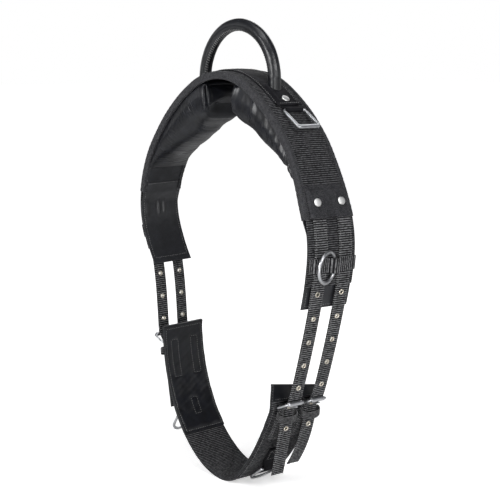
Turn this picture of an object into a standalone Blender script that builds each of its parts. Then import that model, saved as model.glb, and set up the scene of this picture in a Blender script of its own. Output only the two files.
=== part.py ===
"""A lunging surcingle, buckled as it lies round a horse: a padded band with a handle over the
withers, two billet straps on each side, and a girth under the chest.

The loop stands in the XZ plane. +X is the right side in the photograph, -Y is the edge that faces
the horse's head, and the origin lies under the middle of the band, on the withers.
"""

import math

import bmesh
import bpy
import numpy as np
from mathutils import Matrix, Vector

# Fits
GAP = 0.0003  # between pieces that touch
PLAY = 0.0005  # round pins, tongues, rollers and the stuffing
BESIDE = 0.0006  # how far beside a strap the layer over it begins to come down
DROP = 0.001  # over how short a length it comes down
DRILL_REACH = 0.02  # how far a hole's tool reaches past the face
FOLD_SHOULDER = 1.1  # a folded strap meets its own ply this many outer radii behind the bar,
FOLD_SLOPE = 0.7  # and this many heights of the bar further

# The band over the withers: lengths along its outer face from the top to a flap's end, and the
# degrees that each side turns down over each of them
BAND_SPANS = {
    "right": (0.080, 0.100, 0.100, 0.073, 0.082, 0.084),
    "left": (0.080, 0.100, 0.100, 0.073, 0.082, 0.077),
}
BAND_TURNS = {"right": (-30, -16, -20, -6, -24, -9), "left": (-28, -17, -13, -18, -34, -14)}
BAND_WIDTH = 0.100
BAND_CROWN = 0.004  # how far its middle stands above its edges
CROWN_END = 0.300  # where the crown has faded out, from the top
WEBBING_THICKNESS = 0.0025
CORE_THICKNESS = 0.005
CORE_END = 0.338
LINING_THICKNESS = 0.002
LINING_END = 0.330
BINDING_THICKNESS = 0.0012
BINDING_LEG = 0.009
BINDING_END = 0.361
WEBBING_END = 0.478
FLAP_START = 0.334
FLAP_THICKNESS = 0.0022
FLAP_THINNING = 0.030  # below the binding the flap draws in to the webbing over this length
BARREL_TAPER = 0.5  # how much wider the loop is towards the tail, for each metre along the horse
TAPER_START = 0.115  # depth below the top at which it begins
TAPER_FULL = 0.225

# The stuffed pads beside the withers
PAD_START = 0.045
PAD_START_SLANT = 0.36  # how far the gullet end leans, so that it hangs plumb
PAD_SLANT_END = 0.120
PAD_END = 0.305
PAD_DEPTH = 0.054
PAD_END_ROUND = 0.014
PAD_EDGE_DEPTH = 0.004
PAD_HALF_WIDTH = 0.045
PAD_FULL_END = 0.140  # the pad thins from here
PAD_SIDE = 0.85  # share of the depth at which the sides are drawn in
PAD_NOSE = 0.88  # share of the depth that the gullet end's face has
PAD_SQUARENESS = 2.6  # of the section's lower side
PAD_COLUMNS = (-1, -0.95, -0.8, -0.55, -0.2, 0.2, 0.55, 0.8, 0.95, 1)  # shares of the half width
PAD_NOSE_ROWS = (0.0, 0.003, 0.009)
PAD_NOSE_LENGTH = 0.020

# The handle
HANDLE_SPAN = 0.196  # between the middles of its feet
HANDLE_RISE = -0.014  # height of the arch's springing
HANDLE_RADIUS = 0.0115
HANDLE_COVER_WALL = 0.0027
TAB_THICKNESS = 0.002
TAB_WIDTH = 0.022
TAB_START = 0.092
TAB_END = 0.1415
HANDLE_PATCH_THICKNESS = 0.002
HANDLE_PATCH_WIDTH = 0.056
HANDLE_PATCH_END = 0.1505
HANDLE_RIVET_AT = 0.134
HANDLE_FOOT_AT = 0.107  # where its feet meet the band's face
HANDLE_FOOT_LENGTH = 0.050  # of tube below the springing, before it is cut off on the band
HANDLE_FOOT_ROW = 0.020  # from the tab's start to the patch's points under the foot
HANDLE_SIDES = 12
HANDLE_CORE_SIDES = 10
HANDLE_ARCH_STEPS = 18
FOOT_TOOL_REACH = 0.04  # the tools that cut the feet off: half the length,
FOOT_TOOL_HALF_WIDTH = 0.03
FOOT_TOOL_DEPTH = 0.06
TAB_STEP = 0.008

# Rivets
RIVET_HEAD_RADIUS = 0.0072
RIVET_HEAD_HEIGHT = 0.0020
RIVET_SHANK_RADIUS = 0.0020

# The square rings for side reins
REIN_RING_AT = 0.161
REIN_RING_WIDTH = 0.052
REIN_RING_LENGTH = 0.054
REIN_RING_BAR = 0.0045
REIN_RING_LIP = 0.0075  # width of the bar that carries the rein
REIN_RING_CORNER = 0.0036
REIN_RING_LIFT = 10  # degrees that it stands off the band
REIN_CHAPE_WIDTH = 0.040
REIN_CHAPE_TAIL = 0.017
REIN_CHAPE_PLY = 0.0016

# The patch over the tops of the billets, between the bindings
PATCH_START = 0.303
PATCH_END = 0.361
PATCH_THICKNESS = 0.0016
PATCH_RIVET_AT = 0.3345
PATCH_STEP = 0.010

# The billet straps
BILLET_START = 0.316
BILLET_LEAVES = 0.458  # where it leaves the band's face
BILLET_WIDTH = 0.027
BILLET_THICKNESS = 0.003
BILLET_SPACING = 0.050
BILLET_SHIFT = {"right": 0.001, "left": 0.0}  # how far behind the band's middle the pair lies
BILLET_SAG = 0.070  # handle length of the free span's curve at the band
BILLET_SAG_END = 0.008  # and at the buckle
BILLET_TAIL = {"right": 0.138, "left": 0.133}  # from the buckled eyelet to the end
BILLET_TAIL_TURN = {  # degrees that the tail turns out from the girth
    "right_front": -4,
    "right_rear": -24,
    "left_front": -2,
    "left_rear": -2,
}
EYELET_COUNT = 7
EYELET_PITCH = 0.0445
EYELET_HOLE_RADIUS = 0.0026
BUCKLED_HOLE = {"right": 6, "left": 5}

# The cross strap and the round ring in its tunnel
CROSS_STRAP_AT = 0.440
CROSS_STRAP_HEIGHT = 0.025
CROSS_STRAP_THICKNESS = 0.0025
CROSS_STRAP_HALF_LENGTH = 0.0485
TUNNEL_SHOULDER = (0.75, 0.85)  # across and up, as shares of the tunnel's height
ROUND_RING_RADIUS = 0.0265
ROUND_RING_WIRE = 0.00275
ROUND_RING_PLAY = 0.0017  # in its tunnel
ROUND_RING_SWING = 24  # degrees that it stands off the band
ROUND_RING_HANGS = {"right": -1, "left": 1}  # towards the front or the rear edge

# The girth, its outer face as arcs from its right end round to its left end
GIRTH_START = (0.157, -0.538)
GIRTH_START_HEADING = -95
GIRTH_ARCS = (
    (0.030, 0),
    (0.020, -20),
    (0.095, -9),
    (0.060, -10),
    (0.070, -50),
    (0.075, -30),
    (0.120, -30),
    (0.110, -20),
    (0.040, -6),
)
GIRTH_WIDTH = 0.100
GIRTH_PAD_LENGTH = 0.218
GIRTH_PAD_THICKNESS = 0.005
GIRTH_PAD_THIN = 0.002
GIRTH_PAD_RIM = 0.022  # how far the leather is turned over the girth's end
GIRTH_RIM_THICKNESS = 0.0015
GIRTH_RIM_BEND = 0.003  # how far the turned leather stands past the girth's end
GIRTH_RIM_FALL = 0.6  # share of the pad's thickness at which it bends under
GIRTH_PAD_FROM = 0.012  # its full thickness starts here,
GIRTH_PAD_THINS = 0.014  # and ends this far before its end
GIRTH_WEBBING_INSET = 0.002
GIRTH_END_SKEW = 0.16  # how far the right end is pulled askew, for each metre across it
GIRTH_SKEW_LENGTH = 0.028

# The buckles on the girth's ends
BUCKLE_AT = 0.032
BUCKLE_WIRE = 0.002
BUCKLE_INNER_WIDTH = 0.034
BUCKLE_LENGTH = 0.029
BUCKLE_LEAN = 60  # degrees that the frame stands off the girth
BUCKLE_CORNER = 0.004
ROLLER_RADIUS = 0.004
TONGUE_WIRE = 0.0015
TONGUE_PAST_ROLLER = 0.005
TONGUE_WRAP = 250  # degrees that it goes round the bar
TONGUE_CLEARANCE = 0.0015  # over the billet, where it bends
TONGUE_BEND = 0.001
TONGUE_SIDES = 6
BUCKLE_CHAPE_WIDTH = 0.027
BUCKLE_CHAPE_PLY = 0.0025
BUCKLE_CHAPE_TAIL = 0.072
TONGUE_SLOT = 0.005
BUCKLE_ENTRY = 0.018  # straight run of the billet above the bar
BUCKLE_EXIT = 0.024  # the billet bends to lie along the girth over this length below the bar
BUCKLE_EXIT_SLOPE = 0.08
KEEPER_BELOW_BAR = 0.0150
KEEPER_WIDTH = 0.013
KEEPER_INNER_WIDTH = 0.038
KEEPER_THICKNESS = 0.0018
KEEPER_BOW = 0.006  # how far its front stands off the billet
KEEPER_DROOP = 0.005  # how far its front hangs below its back
KEEPER_BACK = 0.8  # share of its width that lies flat behind the billet
KEEPER_FULLNESS = 1.12

# The rings under the chest
CHEST_RING_AT = {"right": 0.180, "left": 0.166}
CHEST_RING_WIDTH = 0.050
CHEST_RING_LENGTH = 0.056
CHEST_RING_BAR = 0.005
CHEST_RING_THICKNESS = 0.004
CHEST_RING_STANDS = {"right": 0.006, "left": 0.018}  # how far its stiff chape holds it off
CHEST_RING_LIFT = {"right": -14, "left": 62}
CHEST_CHAPE_WIDTH = 0.036
CHEST_CHAPE_TAIL = 0.045
CHEST_CHAPE_PLY = 0.002

# Fineness
BAND_STEP = 0.016
GIRTH_STEP = 0.012
STRAP_STEP = 0.016
CURVE_STEP = 0.002  # between the points that a line is measured on
ROUND_SIDES = 8
ROUND_RING_SIDES = 24
ROLLER_SIDES = 12
CHEST_RING_STEPS = 12
BUCKLE_STEP = 0.004  # along a billet beside its buckle

BAND_DEPTH = WEBBING_THICKNESS + CORE_THICKNESS + LINING_THICKNESS + 2 * PLAY
SIDES = {"right": 1, "left": -1}
ROWS = {"front": -1, "rear": 1}


def material(name, colour, roughness, metallic=0.0):
    made = bpy.data.materials.new(name)
    made.use_nodes = True
    shader = made.node_tree.nodes["Principled BSDF"]
    shader.inputs["Base Color"].default_value = (*colour, 1)
    shader.inputs["Roughness"].default_value = roughness
    shader.inputs["Metallic"].default_value = metallic
    return made


def clear_scene():
    for found in list(bpy.data.objects):
        bpy.data.objects.remove(found)


def smoothstep(value):
    value = min(max(value, 0.0), 1.0)
    return value * value * (3 - 2 * value)


def spread(low, high, step):
    """Evenly spread values from low to high, no further apart than step."""
    count = max(1, math.ceil((high - low) / step - 1e-9))
    return [low + (high - low) * i / count for i in range(count + 1)]


def arc_points(start, heading, arcs):
    """Points along a chain of arcs, each a length and a turn in degrees."""
    x, z = start
    heading = math.radians(heading)
    points = [(x, z)]
    for length, turn in arcs:
        count = math.ceil(length / CURVE_STEP)
        for _ in range(count):
            heading += math.radians(turn) / count / 2
            x += math.cos(heading) * length / count
            z += math.sin(heading) * length / count
            heading += math.radians(turn) / count / 2
            points.append((x, z))
    return points


def bezier_points(start, start_way, end, end_way, reach, last_reach):
    """Points of a cubic curve that leaves start along start_way and arrives at end along end_way."""
    start, end = np.array(start), np.array(end)
    first = start + np.array(start_way) * reach
    last = end - np.array(end_way) * last_reach
    count = math.ceil(np.linalg.norm(end - start) / CURVE_STEP)
    points = []
    for i in range(count + 1):
        t = i / count
        s = 1 - t
        points.append(s**3 * start + 3 * s * s * t * first + 3 * s * t * t * last + t**3 * end)
    return points


def barrel_taper(z):
    return BARREL_TAPER * smoothstep((-z - TAPER_START) / (TAPER_FULL - TAPER_START))


class Run:
    """A run of strap: the line that it follows in the loop's plane, and places on and off it."""

    def __init__(self, points, side=1, start=0.0, step=STRAP_STEP, crown=0.0, skew=0.0):
        self.points = np.array([tuple(p) for p in points])
        self.side = side
        self.step = step
        self.crown = crown
        self.skew = skew
        steps = np.diff(self.points, axis=0)
        self.lengths = start + np.concatenate([[0.0], np.cumsum(np.hypot(*steps.T))])
        ways = np.gradient(self.points, axis=0)
        self.headings = np.unwrap(np.arctan2(ways[:, 1], ways[:, 0]))
        self.length = self.lengths[-1]

    def half(self, name):
        """One side of a line whose middle is at 0, run from the middle out."""
        middle = int(np.searchsorted(self.lengths, -1e-6))
        if name == "right":
            return Run(self.points[middle:], step=self.step, crown=self.crown)
        points = self.points[middle::-1] * np.array([-1, 1])
        return Run(points, side=-1, step=self.step, crown=self.crown)

    def mirrored(self):
        """The same line from its other end, for the left side."""
        return Run(self.points[::-1] * np.array([-1, 1]), side=-1, step=self.step)

    def stations(self, low, high):
        """The run's shared steps between low and high, so that its layers bend at one place."""
        first = math.floor(low / self.step) + 1
        last = math.ceil(high / self.step)
        inner = [self.step * i for i in range(first, last)]
        kept = [along for along in inner if min(along - low, high - along) > self.step * 0.2]
        return [low] + kept + [high]

    def heading(self, along):
        return float(np.interp(along, self.lengths, self.headings))

    def way(self, along):
        heading = self.heading(along)
        return np.array([math.cos(heading), math.sin(heading)])

    def plane(self, along, out=0.0):
        """The place in the loop's plane, before it is put on its side."""
        beyond = along - min(max(along, self.lengths[0]), self.length)
        way = self.way(along)
        x = np.interp(along, self.lengths, self.points[:, 0])
        z = np.interp(along, self.lengths, self.points[:, 1])
        return np.array([x, z]) + way * beyond + np.array([-way[1], way[0]]) * out

    def place(self, along, across, out):
        if self.crown:
            fade = 1 - smoothstep(abs(along) / CROWN_END * 2 - 1)
            out += self.crown * fade * (1 - (2 * across / BAND_WIDTH) ** 2)
        if self.skew:
            along += self.skew * across * (1 - smoothstep(along / GIRTH_SKEW_LENGTH))
        x, z = self.plane(along, out)
        return Vector((self.side * x * (1 + barrel_taper(z) * across), across, z))

    def frame(self, along, across=0.0, out=0.0):
        """A matrix with X down the run, Z out of its face, and its origin at the place."""
        near = 1e-4
        down = self.place(along + near, across, out) - self.place(along - near, across, out)
        aside = self.place(along, across + near, out) - self.place(along, across - near, out)
        aside = aside.normalized() * self.side
        outward = down.cross(aside).normalized()
        turned = Matrix((aside.cross(outward), aside, outward)).transposed().to_4x4()
        return Matrix.Translation(self.place(along, across, out)) @ turned


def loft(name, rings, finish, closed=False, matrix=None):
    """A solid through rings of equally many points. closed joins the last ring to the first."""
    mesh = bmesh.new()
    made = [[mesh.verts.new(point) for point in ring] for ring in rings]
    pairs = list(zip(made, made[1:]))
    if closed:
        pairs.append((made[-1], made[0]))
    else:
        mesh.faces.new(made[0])
        mesh.faces.new(made[-1])
    for first, second in pairs:
        for i in range(len(first)):
            j = (i + 1) % len(first)
            mesh.faces.new((first[i], first[j], second[j], second[i]))
    bmesh.ops.recalc_face_normals(mesh, faces=mesh.faces)
    data = bpy.data.meshes.new(name)
    mesh.to_mesh(data)
    mesh.free()
    return add_object(name, data, finish, matrix)


def add_object(name, data, finish, matrix=None):
    data.shade_smooth()
    data.set_sharp_from_angle(angle=math.radians(40))
    if finish:
        data.materials.append(finish)
    made = bpy.data.objects.new(name, data)
    bpy.context.collection.objects.link(made)
    if matrix is not None:
        made.matrix_world = matrix
    return made


def level(value):
    """A height as a function of the place, where a plain number is given."""
    return value if callable(value) else lambda along, across: value


def sheet(name, run, alongs, acrosses, lower, upper, finish):
    """A layer that follows a run, between two heights off its face."""
    lower, upper = level(lower), level(upper)
    rings = []
    for along in alongs:
        top = [run.place(along, across, upper(along, across)) for across in acrosses]
        bottom = [run.place(along, across, lower(along, across)) for across in acrosses]
        rings.append(top + bottom[::-1])
    return loft(name, rings, finish)


def profile_sheet(name, run, profile, acrosses, finish):
    """A folded layer: an outline of (along, out) places, carried across the run."""
    rings = [[run.place(along, across, out) for along, out in profile] for across in acrosses]
    return loft(name, rings, finish)


def straight_sheet(name, run, profile, half_width, finish):
    """The same, carried straight out to both sides of the run's middle."""
    rings = []
    for across in (-half_width, half_width):
        aside = Vector((0, across, 0))
        rings.append([run.place(along, 0, out) + aside for along, out in profile])
    return loft(name, rings, finish)


def circle(radius, sides=ROUND_SIDES):
    return [
        (radius * math.cos(2 * math.pi * i / sides), radius * math.sin(2 * math.pi * i / sides))
        for i in range(sides)
    ]


def planar_ring(name, outline, section, finish, matrix):
    """A closed ring in the XY plane. outline gives (point, outward way), and section(index)
    gives (outward, upward) points round the bar there."""
    rings = []
    for index, ((x, y), (way_x, way_y)) in enumerate(outline):
        rings.append([(x + way_x * a, y + way_y * a, b) for a, b in section(index)])
    return loft(name, rings, finish, closed=True, matrix=matrix)


def bent_tube(points, radius, sides=ROUND_SIDES):
    """Rings round a line of (x, z) points in the XZ plane."""
    points = np.array([tuple(p) for p in points])
    ways = np.gradient(points, axis=0)
    ways /= np.linalg.norm(ways, axis=1)[:, None]
    rings = []
    for (x, z), (way_x, way_z) in zip(points, ways):
        rings.append([(x - way_z * a, b, z + way_x * a) for a, b in circle(radius, sides)])
    return rings


def boolean(target, tool, operation="DIFFERENCE"):
    change = target.modifiers.new(tool.name, "BOOLEAN")
    change.operation = operation
    change.solver = "EXACT"
    change.object = tool
    tool.hide_render = True
    tool.display_type = "WIRE"


def pins(name, matrices, radius, low, high, sides=ROUND_SIDES):
    """Round cutters along the Z axis of each matrix."""
    mesh = bmesh.new()
    for matrix in matrices:
        turned = matrix @ Matrix.Translation((0, 0, (low + high) / 2))
        bmesh.ops.create_cone(
            mesh, cap_ends=True, segments=sides, radius1=radius, radius2=radius,
            depth=high - low, matrix=turned,
        )
    data = bpy.data.meshes.new(name)
    mesh.to_mesh(data)
    mesh.free()
    return add_object(name, data, None)


def rivet(name, matrix, depth, finish):
    """A domed head on the face at the matrix, and its shank through the layers below."""
    rings = []
    heights = [(-depth, RIVET_SHANK_RADIUS), (0.0, RIVET_SHANK_RADIUS), (0.0, RIVET_HEAD_RADIUS)]
    for lift in (0.4, 1.0):
        radius = RIVET_HEAD_RADIUS * math.sqrt(1 - lift**2 * 0.9)
        heights.append((RIVET_HEAD_HEIGHT * lift, radius))
    for height, radius in heights:
        rings.append([(x, y, height) for x, y in circle(radius, 10)])
    return loft(name, rings, finish, matrix=matrix)


def rounded_rectangle(length, width, corner, steps=2):
    """Outline of a rectangle from x 0 to length, with its centre lines' corners rounded."""
    corners = (
        (length - corner, width / 2 - corner, 0),
        (corner, width / 2 - corner, 90),
        (corner, corner - width / 2, 180),
        (length - corner, corner - width / 2, 270),
    )
    outline = []
    for x, y, turn in corners:
        for i in range(steps + 1):
            angle = math.radians(turn + 90 * i / steps)
            way = (math.cos(angle), math.sin(angle))
            outline.append(((x + way[0] * corner, y + way[1] * corner), way))
    return outline


def round_section(radius):
    """Round a bar, starting just below its outward side."""
    angles = [math.radians(45 * i - 22.5) for i in range(8)]
    return [(radius * math.cos(angle), radius * math.sin(angle)) for angle in angles]


def bevelled_section(half_width, half_height):
    """Round a flat bar with its edges taken off, in the same order as round_section."""
    cut = half_height * 0.5
    return [
        (half_width, cut - half_height),
        (half_width, half_height - cut),
        (half_width - cut, half_height),
        (cut - half_width, half_height),
        (-half_width, half_height - cut),
        (-half_width, cut - half_height),
        (cut - half_width, -half_height),
        (half_width - cut, -half_height),
    ]


def folded_profile(run, bar_along, bar_out, bar_radius, ply, tail, way=1):
    """The outline of a strap folded round a bar, with both plies lying on the face beside it.
    The plies run back from the bar, against way."""
    inside = bar_radius + GAP
    outside = inside + ply
    turn = [math.radians(angle) for angle in range(120, -91, -30)]
    shoulder = bar_along - way * (FOLD_SHOULDER * outside + FOLD_SLOPE * bar_out)
    flat = run.stations(*sorted((bar_along - way * tail, shoulder)))[::way]

    def ply_face(height):
        return [(along, height) for along in flat]

    def round_bar(radius):
        return [
            (bar_along + way * radius * math.cos(a), bar_out + radius * math.sin(a)) for a in turn
        ]

    outer = ply_face(GAP + 2 * ply + GAP) + round_bar(outside) + ply_face(GAP)[::-1]
    inner = ply_face(GAP + ply) + round_bar(inside)[::-1] + ply_face(GAP + ply + GAP)[::-1]
    return outer + inner


def bar_height(bar_radius, below):
    """How far off the face a bar lies, with a strap or a tongue of this thickness below it."""
    return GAP + below + GAP + bar_radius


def make_band(band, looks):
    half = BAND_WIDTH / 2 - BINDING_THICKNESS - GAP
    columns = [-half, -half / 2, 0, half / 2, half]
    face_end = -WEBBING_THICKNESS
    webbing = sheet(
        "top_webbing", band, band.stations(-WEBBING_END, WEBBING_END), columns,
        face_end, 0.0, looks["webbing"],
    )
    core_top = face_end - PLAY
    core_bottom = core_top - CORE_THICKNESS
    sheet(
        "band_core", band, band.stations(-CORE_END, CORE_END), columns,
        core_bottom, core_top, looks["foam"],
    )
    lining_top = core_bottom - PLAY
    sheet(
        "band_lining", band, band.stations(-LINING_END, LINING_END), columns,
        lining_top - LINING_THICKNESS, lining_top, looks["leather"],
    )

    def flap_top(along, across):
        thinned = smoothstep((abs(along) - BINDING_END) / FLAP_THINNING)
        return lining_top * (1 - thinned) + core_top * thinned

    def flap_bottom(along, across):
        return max(flap_top(along, across) - FLAP_THICKNESS, -BAND_DEPTH)

    for name, side in SIDES.items():
        ends = sorted((side * FLAP_START, side * sum(BAND_SPANS[name])))
        sheet(
            "flap_leather_" + name, band, band.stations(*ends), columns,
            flap_bottom, flap_top, looks["leather"],
        )
    edge = BAND_WIDTH / 2
    leg = edge - BINDING_LEG
    wall = edge - BINDING_THICKNESS
    section = [
        (leg, GAP + BINDING_THICKNESS),
        (edge, GAP + BINDING_THICKNESS),
        (edge, -BAND_DEPTH - GAP - BINDING_THICKNESS),
        (leg, -BAND_DEPTH - GAP - BINDING_THICKNESS),
        (leg, -BAND_DEPTH - GAP),
        (wall, -BAND_DEPTH - GAP),
        (wall, GAP),
        (leg, GAP),
    ]
    for name, row in ROWS.items():
        rings = [
            [band.place(along, row * across, out) for across, out in section]
            for along in band.stations(-BINDING_END, BINDING_END)
        ]
        loft("binding_" + name, rings, looks["binding"])
    return webbing


def pad_depth(along, across):
    """How far a pad stands below the band: crowned, with its sides drawn in."""
    beyond = max(0.0, (along - PAD_FULL_END) / (PAD_END - PAD_FULL_END))
    thinning = beyond * beyond * (2 - beyond)
    rounding = math.sqrt(1 - (1 - min((along - PAD_START) / PAD_END_ROUND, 1.0)) ** 2)
    depth = PAD_DEPTH * (PAD_NOSE + (1 - PAD_NOSE) * rounding)
    depth += (PAD_EDGE_DEPTH - depth) * thinning
    share = min(abs(across) / PAD_HALF_WIDTH, 1.0)
    crown = math.sqrt(1 - share**PAD_SQUARENESS)
    return depth * (PAD_SIDE + (1 - PAD_SIDE) * crown)


def make_pads(band, looks):
    top = -BAND_DEPTH - 2 * GAP - BINDING_THICKNESS
    alongs = [PAD_START + extra for extra in PAD_NOSE_ROWS]
    alongs += spread(PAD_START + PAD_NOSE_LENGTH, PAD_END, BAND_STEP)
    for name in SIDES:
        run = band.half(name)
        rings = []
        for along in alongs:
            fade = 1 - smoothstep((along - PAD_START) / (PAD_SLANT_END - PAD_START))
            upper = [run.place(along, share * PAD_HALF_WIDTH, top) for share in PAD_COLUMNS]
            lower = []
            for share in PAD_COLUMNS[::-1]:
                across = share * PAD_HALF_WIDTH
                depth = pad_depth(along, across)
                slant = depth * PAD_START_SLANT * fade
                lower.append(run.place(along + slant, across, top - depth))
            rings.append(upper + lower)
        loft("withers_pad_" + name, rings, looks["leather"])


def handle_line():
    """The middle of the handle's tube, from below one foot to below the other."""
    radius = HANDLE_SPAN / 2
    foot = HANDLE_RISE - HANDLE_FOOT_LENGTH
    halfway = HANDLE_RISE - HANDLE_FOOT_LENGTH / 2
    arch = [(-radius, foot), (-radius, halfway)]
    for i in range(HANDLE_ARCH_STEPS + 1):
        angle = math.pi * (1 - i / HANDLE_ARCH_STEPS)
        arch.append((radius * math.cos(angle), HANDLE_RISE + radius * math.sin(angle)))
    arch += [(radius, halfway), (radius, foot)]
    return [(x, z + BAND_DEPTH) for x, z in arch]


def make_handle(band, webbing, looks):
    line = handle_line()
    core_radius = HANDLE_RADIUS - HANDLE_COVER_WALL - GAP
    tab_top = GAP + TAB_THICKNESS
    patch_bottom = tab_top + GAP
    patch_top = patch_bottom + HANDLE_PATCH_THICKNESS
    half = HANDLE_PATCH_WIDTH / 2
    tab_half = TAB_WIDTH / 2

    core = loft("handle_core", bent_tube(line, core_radius, HANDLE_CORE_SIDES), looks["core"])
    outer = bent_tube(line, HANDLE_RADIUS, HANDLE_SIDES)
    inner = bent_tube(line, core_radius + GAP, HANDLE_SIDES)
    cover = loft("handle_cover", outer + inner[::-1], looks["leather"], closed=True)

    over_chape = 3 * GAP + 2 * REIN_CHAPE_PLY + BAND_CROWN * (REIN_CHAPE_WIDTH / BAND_WIDTH) ** 2
    chape_start = REIN_RING_AT - REIN_CHAPE_TAIL

    def patch_lower(along, across):
        if abs(along) > chape_start - DROP / 2:
            return over_chape
        inside = TAB_START - 2 * DROP < abs(along) < TAB_END + DROP
        return patch_bottom if inside and abs(across) < tab_half + DROP else GAP

    rows = band.stations(-TAB_START + 4 * DROP, TAB_START - 4 * DROP)
    for side in SIDES.values():
        rows += [side * (TAB_START - DROP), side * (TAB_START + HANDLE_FOOT_ROW), side * HANDLE_RIVET_AT]
        rows += [side * (TAB_END + DROP / 2), side * (chape_start - 0.4 * DROP)]
        rows += [side * HANDLE_PATCH_END]
    columns = [-half, -tab_half - 2 * DROP, -tab_half - DROP / 2]
    columns += [0.0] + [-c for c in columns[::-1]]
    patch = sheet(
        "handle_patch", band, sorted(rows), columns,
        patch_lower, lambda along, across: patch_lower(along, across) + HANDLE_PATCH_THICKNESS,
        looks["patch"],
    )
    feet = []
    rivets = []
    tool_columns = [-FOOT_TOOL_HALF_WIDTH, 0, FOOT_TOOL_HALF_WIDTH]
    for name, side in SIDES.items():
        ends = sorted((side * TAB_START, side * TAB_END))
        foot_at = side * HANDLE_FOOT_AT
        tool_rows = spread(foot_at - FOOT_TOOL_REACH, foot_at + FOOT_TOOL_REACH, TAB_STEP)
        stop = sheet(
            "core_stop_" + name, band, tool_rows, tool_columns,
            -FOOT_TOOL_DEPTH, GAP + TAB_THICKNESS / 2, None,
        )
        boolean(core, stop)
        tab = sheet(
            "handle_tab_" + name, band, spread(*ends, TAB_STEP), [-tab_half, 0, tab_half],
            GAP, tab_top, None,
        )
        boolean(core, tab, "UNION")
        seat = sheet(
            "cover_stop_" + name, band, tool_rows, tool_columns,
            -FOOT_TOOL_DEPTH, patch_top + GAP, None,
        )
        boolean(cover, seat)
        foot = Matrix.Translation((side * HANDLE_SPAN / 2, 0, 0))
        feet.append(foot)
        spot = band.frame(side * HANDLE_RIVET_AT, 0, patch_top + GAP)
        rivets.append(spot)
        rivet("handle_rivet_" + name, spot, patch_top + GAP + WEBBING_THICKNESS, looks["rivet"])
    reach = 2 * HANDLE_FOOT_LENGTH
    boolean(patch, pins("handle_feet", feet, core_radius + GAP, -reach, reach, HANDLE_SIDES))
    holes = pins("handle_rivet_holes", rivets, RIVET_SHANK_RADIUS + GAP, -DRILL_REACH, DRILL_REACH)
    for drilled in (core, patch, webbing):
        boolean(drilled, holes)


def make_rein_ring(band, name, looks):
    run = band.half(name)
    bar_radius = REIN_RING_BAR / 2
    ply = REIN_CHAPE_PLY
    bar_out = bar_height(bar_radius, ply)
    profile = folded_profile(run, REIN_RING_AT, bar_out, bar_radius, ply, REIN_CHAPE_TAIL)
    straight_sheet("rein_ring_chape_" + name, run, profile, REIN_CHAPE_WIDTH / 2, looks["patch"])

    lift = Matrix.Rotation(math.radians(-REIN_RING_LIFT), 4, "Y")
    length = REIN_RING_LENGTH - bar_radius - REIN_RING_LIP / 2
    outline = rounded_rectangle(length, REIN_RING_WIDTH - REIN_RING_BAR, REIN_RING_CORNER)
    quarter = len(outline) // 4

    def section(index):
        if quarter <= index < 3 * quarter:
            return round_section(bar_radius)
        on_lip = index < 2 or index > len(outline) - 3
        return bevelled_section(REIN_RING_LIP / 2 if on_lip else bar_radius, bar_radius * 0.9)

    planar_ring(
        "rein_ring_" + name, outline, section, looks["chrome"],
        run.frame(REIN_RING_AT, 0, bar_out) @ lift,
    )


def billet_middle(name, row):
    return row * BILLET_SPACING / 2 + BILLET_SHIFT[name]


def billet_out(along):
    """How far off the band's face the middle of a billet lies: over the binding, then on the flap."""
    lowered = smoothstep((along - BINDING_END) / FLAP_THINNING)
    return GAP + (BINDING_THICKNESS + GAP) * (1 - lowered) + BILLET_THICKNESS / 2


def make_patch(band, webbing, name, side, looks):
    edge = BAND_WIDTH / 2 - BINDING_LEG - GAP
    over_billet = billet_out(PATCH_START) + BILLET_THICKNESS / 2 + GAP
    columns = []
    for row in ROWS.values():
        middle = billet_middle(name, row)
        for way in (-1, 1):
            rim = middle + way * BILLET_WIDTH / 2
            columns += [rim + way * BESIDE, rim + way * (BESIDE + DROP)]
    columns = sorted([-edge] + [c for c in columns if abs(c) < edge - BESIDE] + [edge])

    def lower(along, across):
        on_billet = any(
            abs(across - billet_middle(name, row)) < BILLET_WIDTH / 2 + 2 * BESIDE
            for row in ROWS.values()
        )
        if on_billet and abs(along) > BILLET_START - 3 * DROP:
            return over_billet
        return GAP

    rows = [PATCH_START, BILLET_START - 4 * DROP]
    rows += spread(BILLET_START - DROP, PATCH_END, PATCH_STEP)
    patch = sheet(
        "patch_" + name, band, sorted(side * row for row in rows), columns,
        lower, lambda along, across: lower(along, across) + PATCH_THICKNESS, looks["patch"],
    )
    top = over_billet + PATCH_THICKNESS + GAP
    spots = []
    for row_name, row in ROWS.items():
        spot = band.frame(side * PATCH_RIVET_AT, billet_middle(name, row), top)
        spots.append(spot)
        rivet(f"patch_rivet_{name}_{row_name}", spot, top + WEBBING_THICKNESS, looks["rivet"])
    holes = pins(
        "patch_rivet_holes_" + name, spots, RIVET_SHANK_RADIUS + GAP, -DRILL_REACH, DRILL_REACH
    )
    boolean(patch, holes)
    boolean(webbing, holes)
    return holes


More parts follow.
